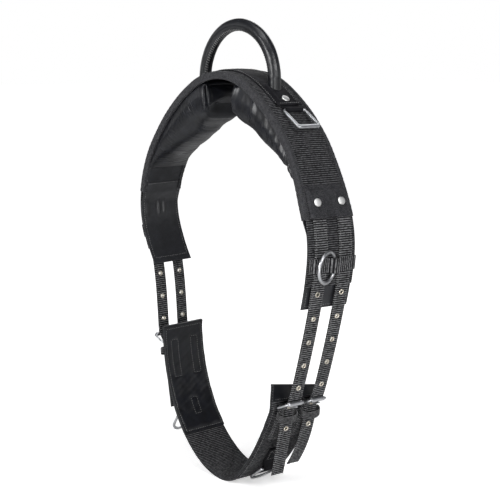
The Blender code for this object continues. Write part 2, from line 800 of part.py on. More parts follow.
def make_cross_strap(band, name, side, looks):
    """The strap over both billets, with a tunnel between them for the round ring's limb."""
    half = CROSS_STRAP_HEIGHT / 2
    sag = ROUND_RING_RADIUS - math.sqrt(ROUND_RING_RADIUS**2 - half**2)
    tunnel = ROUND_RING_WIRE + sag / 2 + ROUND_RING_PLAY
    axis_out = GAP + tunnel
    over_billet = 2 * GAP + BILLET_THICKNESS
    shift = BILLET_SHIFT[name]
    half_billet = BILLET_WIDTH / 2
    front, rear = billet_middle(name, -1), billet_middle(name, 1)
    shoulder, shoulder_out = tunnel * TUNNEL_SHOULDER[0], axis_out + tunnel * TUNNEL_SHOULDER[1]
    heights = {
        -CROSS_STRAP_HALF_LENGTH: GAP,
        front - half_billet - 2 * DROP: GAP,
        front - half_billet - BESIDE: over_billet,
        front + half_billet + BESIDE: over_billet,
        shift - tunnel - 2 * DROP: axis_out,
        shift - shoulder: shoulder_out,
        shift: axis_out + tunnel,
        shift + shoulder: shoulder_out,
        shift + tunnel + 2 * DROP: axis_out,
        rear - half_billet - BESIDE: over_billet,
        rear + half_billet + BESIDE: over_billet,
        rear + half_billet + 2 * DROP: GAP,
        CROSS_STRAP_HALF_LENGTH: GAP,
    }

    def lower(along, across):
        return heights[across]

    rows = sorted(side * (CROSS_STRAP_AT + step) for step in (-half, 0, half))
    sheet(
        "cross_strap_" + name, band, rows, sorted(heights),
        lower, lambda along, across: lower(along, across) + CROSS_STRAP_THICKNESS,
        looks["webbing"],
    )
    run = band.half(name)
    middle = ROUND_RING_RADIUS - sag / 2
    hangs = side * ROUND_RING_HANGS[name]
    outline = []
    for i in range(ROUND_RING_SIDES):
        angle = 2 * math.pi * i / ROUND_RING_SIDES
        way = (math.cos(angle), math.sin(angle))
        outline.append(
            ((way[0] * ROUND_RING_RADIUS, way[1] * ROUND_RING_RADIUS + hangs * middle), way)
        )
    swing = Matrix.Rotation(math.radians(hangs * ROUND_RING_SWING), 4, "X")
    planar_ring(
        "round_ring_" + name, outline, lambda index: circle(ROUND_RING_WIRE), looks["chrome"],
        run.frame(CROSS_STRAP_AT, shift, axis_out) @ swing,
    )


class Buckle:
    """The places in a buckle, seen from its side: x down the girth from its bar, z out of it."""

    def __init__(self):
        lean = math.radians(BUCKLE_LEAN)
        self.bar_out = bar_height(BUCKLE_WIRE, max(BUCKLE_CHAPE_PLY, 2 * TONGUE_WIRE))
        self.roller = (-BUCKLE_LENGTH * math.cos(lean), self.bar_out + BUCKLE_LENGTH * math.sin(lean))
        self.wrap = BUCKLE_WIRE + GAP + TONGUE_WIRE
        fold = BUCKLE_WIRE + GAP + BUCKLE_CHAPE_PLY
        half = BILLET_THICKNESS / 2
        self.billet_out = self.bar_out + max(self.wrap + TONGUE_WIRE, fold) + PLAY + half
        rise = self.roller[1] - self.billet_out
        reach = ROLLER_RADIUS + PLAY + half
        distance = math.hypot(rise, self.roller[0])
        self.slope = math.atan2(rise, -self.roller[0]) - math.asin(reach / distance)
        self.shank = -self.wrap
        billet_here = self.billet_out + self.wrap * math.tan(self.slope)
        self.bend_out = billet_here + (half + TONGUE_WIRE) / math.cos(self.slope) + TONGUE_CLEARANCE
        rise = self.roller[1] - self.bend_out
        across = self.shank - self.roller[0]
        reach = ROLLER_RADIUS + GAP + TONGUE_WIRE
        distance = math.hypot(rise, across)
        self.tongue_slope = math.atan2(rise, across) + math.asin(reach / distance)
        self.tongue_length = math.sqrt(distance**2 - reach**2) + TONGUE_PAST_ROLLER

    def billet(self, down):
        """The billet's middle line above the bar, as (down, out)."""
        return down, self.billet_out - down * math.tan(self.slope)

    def tongue_line(self):
        points = []
        steps = 8
        for i in range(steps + 1):
            angle = math.radians(180 - TONGUE_WRAP * (i / steps - 1))
            points.append((self.wrap * math.cos(angle), self.wrap * math.sin(angle)))
        rise = self.bend_out - self.bar_out
        points.append((self.shank, rise / 2))
        points.append((self.shank, rise - TONGUE_BEND))
        way = (-math.cos(self.tongue_slope), math.sin(self.tongue_slope))
        for reach in (TONGUE_BEND, self.tongue_length / 2, self.tongue_length):
            points.append((self.shank + way[0] * reach, rise + way[1] * reach))
        return points


def billet_line(band, girth, buckle):
    """Points of a billet's middle line, and how far along it the buckled hole lies."""
    face = spread(BILLET_START, BILLET_LEAVES, CURVE_STEP)
    points = [band.plane(along, billet_out(along)) for along in face]
    origin = girth.plane(BUCKLE_AT)
    down = girth.way(BUCKLE_AT)
    outward = np.array([-down[1], down[0]])

    def at_buckle(below, out):
        return origin + down * below + outward * out

    entry = at_buckle(*buckle.billet(-BUCKLE_ENTRY))
    mouth = at_buckle(*buckle.billet(0))
    leave = at_buckle(BUCKLE_EXIT, buckle.billet_out - BUCKLE_EXIT * BUCKLE_EXIT_SLOPE)
    way = (mouth - entry) / np.linalg.norm(mouth - entry)
    points += bezier_points(
        points[-1], band.way(BILLET_LEAVES), entry, way, BILLET_SAG, BILLET_SAG_END
    )[1:]
    points += [entry + (mouth - entry) * share for share in spread(0, 1, 0.1)[1:]]
    hole = Run(points).length + buckle.shank / math.cos(buckle.slope)
    leaving = down - outward * BUCKLE_EXIT_SLOPE
    leaving /= np.linalg.norm(leaving)
    points += bezier_points(mouth, way, leave, leaving, BUCKLE_EXIT / 5, BUCKLE_EXIT / 3)[1:]
    return points, hole, math.degrees(math.atan2(leaving[1], leaving[0]))


def make_billets(band, girth, name, side, patch_holes, buckle, looks):
    points, hole, heading = billet_line(band, girth, buckle)
    bent = (hole - BUCKLE_ENTRY, Run(points).length)
    tail = hole + BILLET_TAIL[name] - bent[1]
    half = BILLET_THICKNESS / 2
    for row_name, row in ROWS.items():
        middle = billet_middle(name, row)
        columns = [middle - BILLET_WIDTH / 2, middle, middle + BILLET_WIDTH / 2]
        label = f"{name}_{row_name}"
        hanging = arc_points(points[-1], heading, ((tail, BILLET_TAIL_TURN[label]),))
        run = Run(points + hanging[1:], side)
        alongs = spread(0, bent[0], STRAP_STEP) + spread(*bent, BUCKLE_STEP)[1:]
        alongs += spread(bent[1], run.length, STRAP_STEP)[1:]
        billet = sheet("billet_" + label, run, alongs, columns, -half, half, looks["strap"])
        spots = [
            run.frame(hole + (i + 1 - BUCKLED_HOLE[name]) * EYELET_PITCH, middle)
            for i in range(EYELET_COUNT)
        ]
        reach = DRILL_REACH / 2
        boolean(billet, pins("eyelet_holes_" + label, spots, EYELET_HOLE_RADIUS, -reach, reach))
        boolean(billet, patch_holes)
        shank = girth.frame(BUCKLE_AT, middle, buckle.bar_out)
        shank = shank @ Matrix.Translation((buckle.shank, 0, 0))
        boolean(billet, pins("tongue_hole_" + label, [shank], TONGUE_WIRE + PLAY, 0, DRILL_REACH))
        make_keeper(run, label, middle, hole + KEEPER_BELOW_BAR - buckle.shank, looks)
        make_buckle(girth, label, middle, buckle, looks)


def make_keeper(run, label, middle, along, looks):
    """A webbing loop round the billet, its front bowed out and drooping."""
    back = -(BILLET_THICKNESS / 2 + GAP + KEEPER_THICKNESS / 2)
    side = (KEEPER_INNER_WIDTH + KEEPER_THICKNESS) / 2
    front = BILLET_THICKNESS / 2 + GAP + KEEPER_THICKNESS / 2 + KEEPER_BOW
    outline = [(side * share, back) for share in (-KEEPER_BACK, KEEPER_BACK)]
    for i in range(11):
        angle = math.radians(-30 + 240 * i / 10)
        full = min(max(KEEPER_FULLNESS * math.cos(angle), -1), 1)
        outline.append((side * full, front * math.sin(angle)))
    middles = np.array(outline)
    ways = np.roll(middles, -1, axis=0) - np.roll(middles, 1, axis=0)
    ways /= np.linalg.norm(ways, axis=1)[:, None]
    rings = []
    half = KEEPER_THICKNESS / 2
    for (y, z), (way_y, way_z) in zip(middles, ways):
        droop = KEEPER_DROOP * max(z, 0) / front
        ring = []
        for reach, down in ((half, -1), (half, 1), (-half, 1), (-half, -1)):
            place = (down * KEEPER_WIDTH / 2 + droop, y + way_z * reach, z - way_y * reach)
            ring.append(place)
        rings.append(ring)
    loft("keeper_" + label, rings, looks["webbing"], closed=True, matrix=run.frame(along, middle))


def make_buckle(girth, label, middle, buckle, looks):
    half = BUCKLE_CHAPE_WIDTH / 2
    profile = folded_profile(
        girth, BUCKLE_AT, buckle.bar_out, BUCKLE_WIRE, BUCKLE_CHAPE_PLY, BUCKLE_CHAPE_TAIL, -1
    )
    chape = profile_sheet(
        "buckle_chape_" + label, girth, profile, [middle - half, middle + half],
        looks["strap"],
    )
    bar = girth.frame(BUCKLE_AT, middle, buckle.bar_out)
    mesh = bmesh.new()
    bmesh.ops.create_cube(mesh, size=1.0)
    reach = buckle.wrap + TONGUE_WIRE + PLAY
    bmesh.ops.scale(mesh, vec=(2 * reach, TONGUE_SLOT, 4 * reach), verts=mesh.verts)
    data = bpy.data.meshes.new("tongue_slot_" + label)
    mesh.to_mesh(data)
    mesh.free()
    boolean(chape, add_object("tongue_slot_" + label, data, None, bar))

    lean = Matrix.Rotation(math.radians(180 + BUCKLE_LEAN), 4, "Y")
    width = BUCKLE_INNER_WIDTH + 2 * BUCKLE_WIRE
    planar_ring(
        "buckle_frame_" + label, rounded_rectangle(BUCKLE_LENGTH, width, BUCKLE_CORNER),
        lambda index: circle(BUCKLE_WIRE), looks["chrome"], bar @ lean,
    )
    length = width - 2 * BUCKLE_CORNER - 2 * PLAY
    rings = []
    for radius, y in (
        (ROLLER_RADIUS, -length / 2),
        (ROLLER_RADIUS, length / 2),
        (BUCKLE_WIRE + GAP, length / 2),
        (BUCKLE_WIRE + GAP, -length / 2),
    ):
        rings.append([(x, y, z) for x, z in circle(radius, ROLLER_SIDES)])
    roller = girth.frame(BUCKLE_AT, middle, 0) @ Matrix.Translation(
        (buckle.roller[0], 0, buckle.roller[1])
    )
    loft("buckle_roller_" + label, rings, looks["chrome"], closed=True, matrix=roller)
    tongue = bent_tube(buckle.tongue_line(), TONGUE_WIRE, TONGUE_SIDES)
    loft("buckle_tongue_" + label, tongue, looks["chrome"], matrix=bar)


def make_girth(girth, looks):
    half = GIRTH_WIDTH / 2
    columns = [-half, half]
    inset = GIRTH_WEBBING_INSET
    sheet(
        "girth_webbing", girth, girth.stations(inset, girth.length - inset), columns,
        -WEBBING_THICKNESS, 0.0, looks["webbing"],
    )
    top = -WEBBING_THICKNESS - GAP
    for name, side in SIDES.items():
        run = girth if side > 0 else girth.mirrored()
        thick = top - GIRTH_PAD_THICKNESS
        rows = run.stations(GIRTH_PAD_FROM, GIRTH_PAD_LENGTH - GIRTH_PAD_THINS)
        rim_top = GAP + GIRTH_RIM_THICKNESS
        shoulder = GIRTH_RIM_BEND / 3
        profile = [(GIRTH_PAD_RIM, GAP), (GIRTH_PAD_RIM, rim_top), (-shoulder, rim_top)]
        profile += [(-GIRTH_RIM_BEND, 0.0), (-GIRTH_RIM_BEND, thick * GIRTH_RIM_FALL)]
        profile += [(shoulder, thick)] + [(row, thick) for row in rows]
        profile += [(GIRTH_PAD_LENGTH, top - GIRTH_PAD_THIN), (GIRTH_PAD_LENGTH, top)]
        profile += [(row, top) for row in rows[::-1]]
        profile += [(inset - GAP, top), (inset - GAP, GAP)]
        profile_sheet("girth_pad_" + name, run, profile, columns, looks["leather"])


def make_chest_ring(girth, name, looks):
    """A D-shaped ring in its folded chape, on the outside of the girth."""
    bar_radius = CHEST_RING_BAR / 2
    ply = CHEST_CHAPE_PLY
    bar_out = bar_height(bar_radius, ply) + CHEST_RING_STANDS[name]
    profile = folded_profile(girth, CHEST_RING_AT[name], bar_out, bar_radius, ply, CHEST_CHAPE_TAIL)
    half = CHEST_CHAPE_WIDTH / 2
    profile_sheet("chest_ring_chape_" + name, girth, profile, [-half, half], looks["patch"])
    radius = (CHEST_RING_WIDTH - CHEST_RING_BAR) / 2
    straight = CHEST_RING_LENGTH - CHEST_RING_BAR - radius
    corner = BUCKLE_CORNER
    outline = []
    for i in range(CHEST_RING_STEPS + 1):
        angle = math.radians(-90 + 180 * i / CHEST_RING_STEPS)
        way = (math.cos(angle), math.sin(angle))
        outline.append(((straight + way[0] * radius, way[1] * radius), way))
    for turn, y in ((90, radius - corner), (180, corner - radius)):
        for i in range(4):
            angle = math.radians(turn + 30 * i)
            way = (math.cos(angle), math.sin(angle))
            outline.append(((corner + way[0] * corner, y + way[1] * corner), way))
    lift = Matrix.Rotation(math.radians(-CHEST_RING_LIFT[name]), 4, "Y")

    def section(index):
        if index > CHEST_RING_STEPS + 1:
            return round_section(bar_radius)
        return bevelled_section(bar_radius, CHEST_RING_THICKNESS / 2)

    planar_ring(
        "chest_ring_" + name, outline, section, looks["chrome"],
        girth.frame(CHEST_RING_AT[name], 0, bar_out) @ lift,
    )


def make_band_run():
    """The whole band, from the left flap's end over the top to the right one's."""
    top = (0.0, BAND_DEPTH)
    right = arc_points(top, 0, zip(BAND_SPANS["right"], BAND_TURNS["right"]))
    left = arc_points(top, 0, zip(BAND_SPANS["left"], BAND_TURNS["left"]))
    outward = [(-x, z) for x, z in left[:0:-1]]
    start = -sum(BAND_SPANS["left"])
    return Run(outward + right, start=start, step=BAND_STEP, crown=BAND_CROWN)


def main():
    clear_scene()
    looks = {
        "webbing": material("webbing", (0.030, 0.030, 0.033), 0.75),
        "strap": material("strap", (0.034, 0.034, 0.037), 0.75),
        "binding": material("binding", (0.060, 0.060, 0.064), 0.85),
        "foam": material("foam", (0.10, 0.10, 0.10), 0.95),
        "leather": material("leather", (0.022, 0.023, 0.028), 0.42),
        "patch": material("patch", (0.018, 0.018, 0.020), 0.62),
        "core": material("core", (0.30, 0.25, 0.18), 0.80),
        "rivet": material("rivet", (0.80, 0.80, 0.80), 0.30, 1.0),
        "chrome": material("chrome", (0.86, 0.87, 0.88), 0.10, 1.0),
    }
    band = make_band_run()
    line = arc_points(GIRTH_START, GIRTH_START_HEADING, GIRTH_ARCS)
    girth = Run(line, step=GIRTH_STEP, skew=GIRTH_END_SKEW)
    buckle = Buckle()
    webbing = make_band(band, looks)
    make_pads(band, looks)
    make_handle(band, webbing, looks)
    make_girth(girth, looks)
    for name, side in SIDES.items():
        band_side = band.half(name)
        girth_side = girth if side > 0 else girth.mirrored()
        make_rein_ring(band, name, looks)
        patch_holes = make_patch(band, webbing, name, side, looks)
        make_cross_strap(band, name, side, looks)
        make_billets(band_side, girth_side, name, side, patch_holes, buckle, looks)
        make_chest_ring(girth_side, name, looks)


main()
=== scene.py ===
"""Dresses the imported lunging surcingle: ribbed webbing, rolled and stitched leather, stuffed pads,
chromed rings and buckles, under plain soft studio light.

The straps follow the same lines as the solids: +X is the photograph's right, -Y the edge towards
the horse's head, and the origin lies on the withers under the middle of the band.
"""

import math

import bmesh
import bpy
import numpy as np
from mathutils import Matrix, Vector


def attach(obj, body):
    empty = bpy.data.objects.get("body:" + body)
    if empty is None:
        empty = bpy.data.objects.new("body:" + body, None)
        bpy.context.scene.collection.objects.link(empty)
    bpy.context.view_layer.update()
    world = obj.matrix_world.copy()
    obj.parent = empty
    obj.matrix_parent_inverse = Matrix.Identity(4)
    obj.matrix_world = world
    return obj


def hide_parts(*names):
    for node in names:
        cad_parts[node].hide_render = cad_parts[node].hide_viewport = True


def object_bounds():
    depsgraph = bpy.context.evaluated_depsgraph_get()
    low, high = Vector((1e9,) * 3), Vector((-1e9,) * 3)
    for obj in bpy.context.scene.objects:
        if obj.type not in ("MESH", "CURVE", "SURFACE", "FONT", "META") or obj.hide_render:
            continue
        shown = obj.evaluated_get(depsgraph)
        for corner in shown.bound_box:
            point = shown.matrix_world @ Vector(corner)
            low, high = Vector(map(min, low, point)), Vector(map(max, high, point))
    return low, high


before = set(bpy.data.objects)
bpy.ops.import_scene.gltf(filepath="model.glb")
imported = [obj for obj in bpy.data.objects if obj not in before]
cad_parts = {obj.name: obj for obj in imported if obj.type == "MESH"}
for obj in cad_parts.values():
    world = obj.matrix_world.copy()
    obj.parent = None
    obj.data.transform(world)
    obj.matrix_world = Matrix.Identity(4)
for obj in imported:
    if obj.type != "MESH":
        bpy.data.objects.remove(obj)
cad_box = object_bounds()

# Sizes of the solids, in metres
GAP = 0.0003
PLAY = 0.0005
BAND_SPANS = {
    "right": (0.080, 0.100, 0.100, 0.073, 0.082, 0.084),
    "left": (0.080, 0.100, 0.100, 0.073, 0.082, 0.077),
}
BAND_TURNS = {"right": (-30, -16, -20, -6, -24, -9), "left": (-28, -17, -13, -18, -34, -14)}
BAND_WIDTH = 0.100
BAND_CROWN = 0.004
CROWN_END = 0.300
WEBBING_THICKNESS = 0.0025
CORE_THICKNESS = 0.005
LINING_THICKNESS = 0.002
BAND_DEPTH = WEBBING_THICKNESS + CORE_THICKNESS + LINING_THICKNESS + 2 * PLAY
BINDING_THICKNESS = 0.0012
BINDING_LEG = 0.009
BINDING_END = 0.361
WEBBING_END = 0.478
FLAP_THICKNESS = 0.0022
FLAP_THINNING = 0.030
BARREL_TAPER = 0.5
TAPER_START = 0.115
TAPER_FULL = 0.225
PAD_START = 0.045
PAD_START_SLANT = 0.36
PAD_SLANT_END = 0.120
PAD_END = 0.305
PAD_DEPTH = 0.054
PAD_EDGE_DEPTH = 0.004
PAD_HALF_WIDTH = 0.045
PAD_FULL_END = 0.140
HANDLE_SPAN = 0.196
HANDLE_RISE = -0.014
HANDLE_RADIUS = 0.0115
TAB_THICKNESS = 0.002
TAB_WIDTH = 0.022
TAB_START = 0.092
TAB_END = 0.1415
HANDLE_PATCH_THICKNESS = 0.002
HANDLE_PATCH_WIDTH = 0.056
HANDLE_PATCH_END = 0.1505
HANDLE_RIVET_AT = 0.134
RIVET_HEAD_RADIUS = 0.0072
RIVET_HEAD_HEIGHT = 0.0020
REIN_RING_AT = 0.161
REIN_RING_WIDTH = 0.052
REIN_RING_LENGTH = 0.054
REIN_RING_BAR = 0.0045
REIN_RING_LIP = 0.0075
REIN_RING_CORNER = 0.0036
REIN_RING_LIFT = 10
REIN_CHAPE_WIDTH = 0.040
REIN_CHAPE_TAIL = 0.017
REIN_CHAPE_PLY = 0.0016
PATCH_START = 0.303
PATCH_END = 0.361
PATCH_THICKNESS = 0.0016
PATCH_RIVET_AT = 0.3345
BILLET_START = 0.316
BILLET_LEAVES = 0.458
BILLET_WIDTH = 0.027
BILLET_THICKNESS = 0.003
BILLET_SPACING = 0.050
BILLET_SHIFT = {"right": 0.001, "left": 0.0}
BILLET_SAG = 0.070
BILLET_SAG_END = 0.008
BILLET_TAIL = {"right": 0.138, "left": 0.133}
BILLET_TAIL_TURN = {"right_front": -4, "right_rear": -24, "left_front": -2, "left_rear": -2}
EYELET_COUNT = 7
EYELET_PITCH = 0.0445
EYELET_HOLE_RADIUS = 0.0026
BUCKLED_HOLE = {"right": 6, "left": 5}
CROSS_STRAP_AT = 0.440
CROSS_STRAP_HEIGHT = 0.025
CROSS_STRAP_THICKNESS = 0.0025
CROSS_STRAP_HALF_LENGTH = 0.0485
ROUND_RING_RADIUS = 0.0265
ROUND_RING_WIRE = 0.00275
ROUND_RING_PLAY = 0.0017
ROUND_RING_SWING = 24
ROUND_RING_HANGS = {"right": -1, "left": 1}
GIRTH_START = (0.157, -0.538)
GIRTH_START_HEADING = -95
GIRTH_ARCS = (
    (0.030, 0),
    (0.020, -20),
    (0.095, -9),
    (0.060, -10),
    (0.070, -50),
    (0.075, -30),
    (0.120, -30),
    (0.110, -20),
    (0.040, -6),
)
GIRTH_WIDTH = 0.100
GIRTH_PAD_LENGTH = 0.218
GIRTH_PAD_THICKNESS = 0.005
GIRTH_PAD_THIN = 0.002
GIRTH_PAD_RIM = 0.022
GIRTH_RIM_THICKNESS = 0.0015
GIRTH_WEBBING_INSET = 0.002
GIRTH_END_SKEW = 0.16
GIRTH_SKEW_LENGTH = 0.028
BUCKLE_AT = 0.032
BUCKLE_WIRE = 0.002
BUCKLE_INNER_WIDTH = 0.034
BUCKLE_LENGTH = 0.029
BUCKLE_LEAN = 60
BUCKLE_CORNER = 0.004
ROLLER_RADIUS = 0.004
TONGUE_WIRE = 0.0015
TONGUE_PAST_ROLLER = 0.005
TONGUE_WRAP = 250
BUCKLE_CHAPE_WIDTH = 0.027
BUCKLE_CHAPE_PLY = 0.0025
BUCKLE_CHAPE_TAIL = 0.072
BUCKLE_ENTRY = 0.018
BUCKLE_EXIT = 0.024
BUCKLE_EXIT_SLOPE = 0.08
KEEPER_BELOW_BAR = 0.0150
KEEPER_WIDTH = 0.013
KEEPER_INNER_WIDTH = 0.038
KEEPER_THICKNESS = 0.0018
KEEPER_BOW = 0.006
KEEPER_DROOP = 0.005
CHEST_RING_AT = {"right": 0.180, "left": 0.166}
CHEST_RING_WIDTH = 0.050
CHEST_RING_LENGTH = 0.056
CHEST_RING_BAR = 0.005
CHEST_RING_THICKNESS = 0.004
CHEST_RING_STANDS = {"right": 0.006, "left": 0.018}
CHEST_RING_LIFT = {"right": -14, "left": 62}
CHEST_CHAPE_WIDTH = 0.036
CHEST_CHAPE_TAIL = 0.045
CHEST_CHAPE_PLY = 0.002
CURVE_STEP = 0.002
WEBBING_HALF = BAND_WIDTH / 2 - BINDING_THICKNESS - GAP
CORE_TOP = -WEBBING_THICKNESS - PLAY
LINING_TOP = CORE_TOP - CORE_THICKNESS - PLAY
PAD_TOP = -BAND_DEPTH - 2 * GAP - BINDING_THICKNESS
HANDLE_LENGTH = HANDLE_SPAN * math.pi / 2
ROUND_RING_SAG = ROUND_RING_RADIUS - math.sqrt(ROUND_RING_RADIUS**2 - (CROSS_STRAP_HEIGHT / 2) ** 2)
CHEST_RING_CORNER = 0.004
TONGUE_BEND = 0.0022
TONGUE_SLOT_HALF = 0.0025
CHAPE_TOP = 2 * GAP + 2 * BUCKLE_CHAPE_PLY
SIDES = {"right": 1, "left": -1}
ROWS = {"front": -1, "rear": 1}

# Unevenness of the surfaces: its height, its length and width, and the number of its random draw
RIB_DRIFT = (0.0004, 0.012, 0.030, 5)  # how far a rib strays from its line
LINING_SWELL = (0.00015, 0.02, 0.02, 3)
PAD_SWELLS = {"left": (0.00035, 0.06, 1.1, 75), "right": (0.00035, 0.06, 1.1, 76)}
PAD_UNDERSIDE = (0.00013, 0.009, 1.6, 77)
HANDLE_PATCH_SWELL = (0.00012, 0.012, 0.012, 31)
COVER_SWELL = (0.00030, 0.060, 0.012, 41)
COVER_WRINKLES = (0.00008, 0.012, 0.010, 42)
PATCH_SWELL = (0.0003, 0.02, 0.02, 55)
GIRTH_PAD_SWELL = (0.0006, 0.03, 0.03, 61)
GIRTH_PAD_WRINKLES = (0.0003, 0.009, 0.02, 62)

# The surface detail
RIB_HEIGHT = 0.00045
BAND_RIB = 0.0038  # between the webbing's ribs
STRAP_RIB = 0.0040
KEEPER_RIB = 0.0022
LAYER_STEP = 0.003  # between the rows of a plain layer
STITCH = 0.0030
STITCH_PITCH = 0.0046
THREAD = 0.00040
THREAD_LIFT = 0.0001
STITCH_RINGS = ((0.16, 0.2, 0.75), (0.5, 0.55, 1.0), (0.84, 0.2, 0.75))  # along, rise and size
STITCHES_OFF_END = 0.004
BINDING_STITCH = (0.0042, 0.0027)  # pitch and length
EDGE_PITCH = 0.0052  # between the stitches along a strap's edge
WHIP_THREAD = 0.0008
WHIP_SUNK = 0.0006
BOX_INSET = 0.0035  # from the edge of a chape or patch to its stitches
FLAP_STITCH_INSET = 0.006
PATCH_STITCH_INSET = 0.003
BILLET_STITCH_INSET = 0.0028
EYELET_RIM_RADIUS = 0.0049
HOLE_CLEAR = 0.0011  # round a billet's hole, under the eyelet's rim
WORN_EYELET = (1.38, 1.15, 0.72, 1)  # the buckled eyelet, stretched and pressed flat by its tongue
STITCHES_START = 0.06  # down the billet, from its hidden upper end
ROLLER_CLEAR = 0.006
BINDING_CREASE = 0.00035
BINDING_BEND = 0.0022
PAD_ROUND = 0.022
PAD_EDGE = 0.0085
PAD_RIM = 0.002
PAD_MIDDLE = 0.46  # a share of the depth
PAD_END_ROWS = 14
PAD_CORNER_ROWS = 25
PAD_SIDE_ROWS = 190
PAD_END_BULGE = 0.008
PAD_FULL_DEPTH = 0.0640  # a little over the plain solid's, which has square corners
PAD_SQUARENESS = 2.25
PAD_SQUARENESS_AT_SEAM = 3.6
PAD_TOP_SQUARENESS = 9.0
PAD_WIDEST = 0.12  # a share of the depth
PAD_BULGE = 0.003
PAD_CREASE_TURN = 0.020
PAD_CREASE_BEND = 0.012
# A pad's creases: spacing, sharpness, height, how far down they reach, and random draw
PAD_CREASES = {
    "left": (0.0110, 0.85, 0.0015, 0.022, 71),
    "right": (0.022, 0.30, 0.0026, 0.019, 73),
}
PAD_CREASE_LENGTH = 0.075
PAD_VALLEY_HALF = 0.38
PAD_SEAM_DEPTH = 0.0026
PAD_PUFF = 0.0034
PAD_PUCKER = 0.0012
# Round the sewn corner, in degrees
PAD_GROOVE_HALF = 13
PAD_PUFF_AT = 58
PAD_PUFF_HALF = 42
PAD_PUCKER_REACH = 50
# Up the sewn corner, in metres
PAD_SEAM_BULGE = 0.007
PAD_FIRST_STITCH = 0.005
PAD_STITCHES = 7
PAD_STITCH_PITCH = 0.0062
HANDLE_SEAM = 212
HANDLE_WHIP = 0.30  # from the seam to a stitch's end, in radians
COVER_RIDGE = 0.0007
COVER_GROOVE = 0.0004
COVER_FLARE = 0.0009
COVER_NECK = 0.0003
COVER_SUNK = 0.0004  # the wrinkles rise from this much under the plain solid
REIN_RING_ROUND = 0.0058
FLAP_RIDGE_AT = 0.398
FLAP_RIDGE_HALF = 0.014
FLAP_RIPPLE = 0.00015
# Each ridge pressed into a flap: its place across, its width and its height
FLAP_RIDGES = ((-0.72, 0.10, 0.0030), (-0.10, 0.055, 0.0040), (0.20, 0.07, 0.0040))
FLAP_SEEN_FROM = 0.341
LINING_SEEN_END = 0.3404
LINING_HATCH = 0.0042
LINING_HATCH_START = 0.303
LINING_RIDGE = 0.00025
PATCH_CREASE = 0.0019
PATCH_FOLD = 0.0062
PATCH_FOLD_LENGTH = 0.045
DRAPE = 0.003  # over this length, leather comes down from what it covers
DRAPE_CLEAR = 0.0005
# The rolled rim of a rivet's head, as shares of its radius and its height
RIVET_RIM = (
    (0.3, -0.6), (0.3, 0.0), (1.0, 0.0), (1.0, 0.25), (0.985, 0.42), (0.955, 0.54), (0.90, 0.64),
)
QUILT_INSET = 0.0045
QUILT_WIDTH = 0.0018
QUILT_DEPTH = 0.0010
GIRTH_PAD_EDGE = 0.0022
GIRTH_PAD_TAPER = 0.014
# The leather wrapped over the girth's end: along and under its outer face, then along and the
# share of its inner face's height
GIRTH_END_OVER = ((-0.0010, 0.0003), (-0.0024, 0.0014), (-0.003, 0.0033))
GIRTH_END_UNDER = ((-0.003, 0.5), (-0.0022, 0.82), (-0.0006, 0.97))
BUCKLE_BOX = (0.027, 0.101)
BUCKLE_BOX_HALF = 0.0085
CHEST_BOX = (0.148, 0.182)
CHEST_BOX_HALF = 0.0075

# The finishes, with linear colours. Woven: dark, light (mostly a painted highlight on each rib's
# crest), spacing of its ribs and threads, slant
WOVEN_LOOKS = {
    "webbing": ((0.005, 0.005, 0.006), (0.14, 0.141, 0.148), BAND_RIB),
    # The straps' crests are painted lighter than the band's: a stronger painted highlight.
    "strap": ((0.005, 0.005, 0.006), (0.26, 0.262, 0.27), STRAP_RIB),
    "binding": ((0.016, 0.016, 0.018), (0.105, 0.106, 0.113), 0.0016, 0.0013, 0.9),
    "keeper": ((0.012, 0.012, 0.013), (0.22, 0.22, 0.225), KEEPER_RIB),
    "cover": ((0.014, 0.014, 0.016), (0.085, 0.086, 0.092), 0.0017, 0.0012, -0.8),
}
WOVEN_ROUGHNESS = (0.82, 0.62)
# Leather: dark, light, roughness of dull and worn places, scale of its grain, depth and scale of
# its creases, specular
LEATHER_LOOKS = {
    "leather": ((0.003, 0.0033, 0.0045), (0.010, 0.011, 0.015), (0.40, 0.27)),
    "rolled": (
        (0.003, 0.0035, 0.0045), (0.011, 0.012, 0.015), (0.42, 0.28), 750.0, 0.0003, 140.0, 0.5
    ),
    "patch": (
        (0.004, 0.004, 0.005), (0.016, 0.016, 0.019), (0.80, 0.62), 1500.0, 0.0003, 120.0, 0.12
    ),
    # The flap's colours are lighter than the pads' leather, which is the same hide: painted sheen.
    "flap": (
        (0.006, 0.0065, 0.008), (0.019, 0.020, 0.024), (0.52, 0.36), 800.0, 0.0003, 60.0, 0.5
    ),
    "lining": ((0.004, 0.0045, 0.006), (0.013, 0.014, 0.018), (0.56, 0.42)),
}
# Fibre: dark, light, scale
FIBRE_LOOKS = {
    "foam": ((0.07, 0.07, 0.07), (0.13, 0.13, 0.13), 700.0),
    "core": ((0.20, 0.16, 0.11), (0.38, 0.32, 0.24), 420.0),
    "thread": ((0.12, 0.12, 0.12), (0.30, 0.30, 0.30), 3000.0),
    "dark_thread": ((0.02, 0.02, 0.022), (0.075, 0.075, 0.08), 3000.0),
}
# Metal: colour, roughness of polished and dull places, scale and depth of its polishing marks
METAL_LOOKS = {
    "rivet": ((0.86, 0.86, 0.85), (0.34, 0.52), 300.0),
    "chrome": ((0.60, 0.61, 0.63), (0.27, 0.36), 400.0, 0.000002),
    "eyelet": ((0.74, 0.69, 0.60), (0.20, 0.34), 500.0),
}

# The light
WORLD_LIGHT = 0.26
SKY_FADE = (0.04, 0.35, 0, 1)  # a reflection's height, from white to the colour of the room
SKY_COLOUR = (0.10, 0.10, 0.11)
FLOOR_GLOW = 0.55
FLOOR_FADE = (0.9, 1.8)
# Each lamp: its azimuth, elevation, distance, size and power
LAMPS = (
    ("key", -5, 24, 2.2, 0.9, 34),
    ("front", 58, -6, 2.4, 0.45, 22),
    ("right", 84, 32, 2.4, 0.9, 25),
    ("top", 30, 75, 2.2, 1.0, 12),
    ("back", 215, 35, 2.6, 1.2, 12),
)

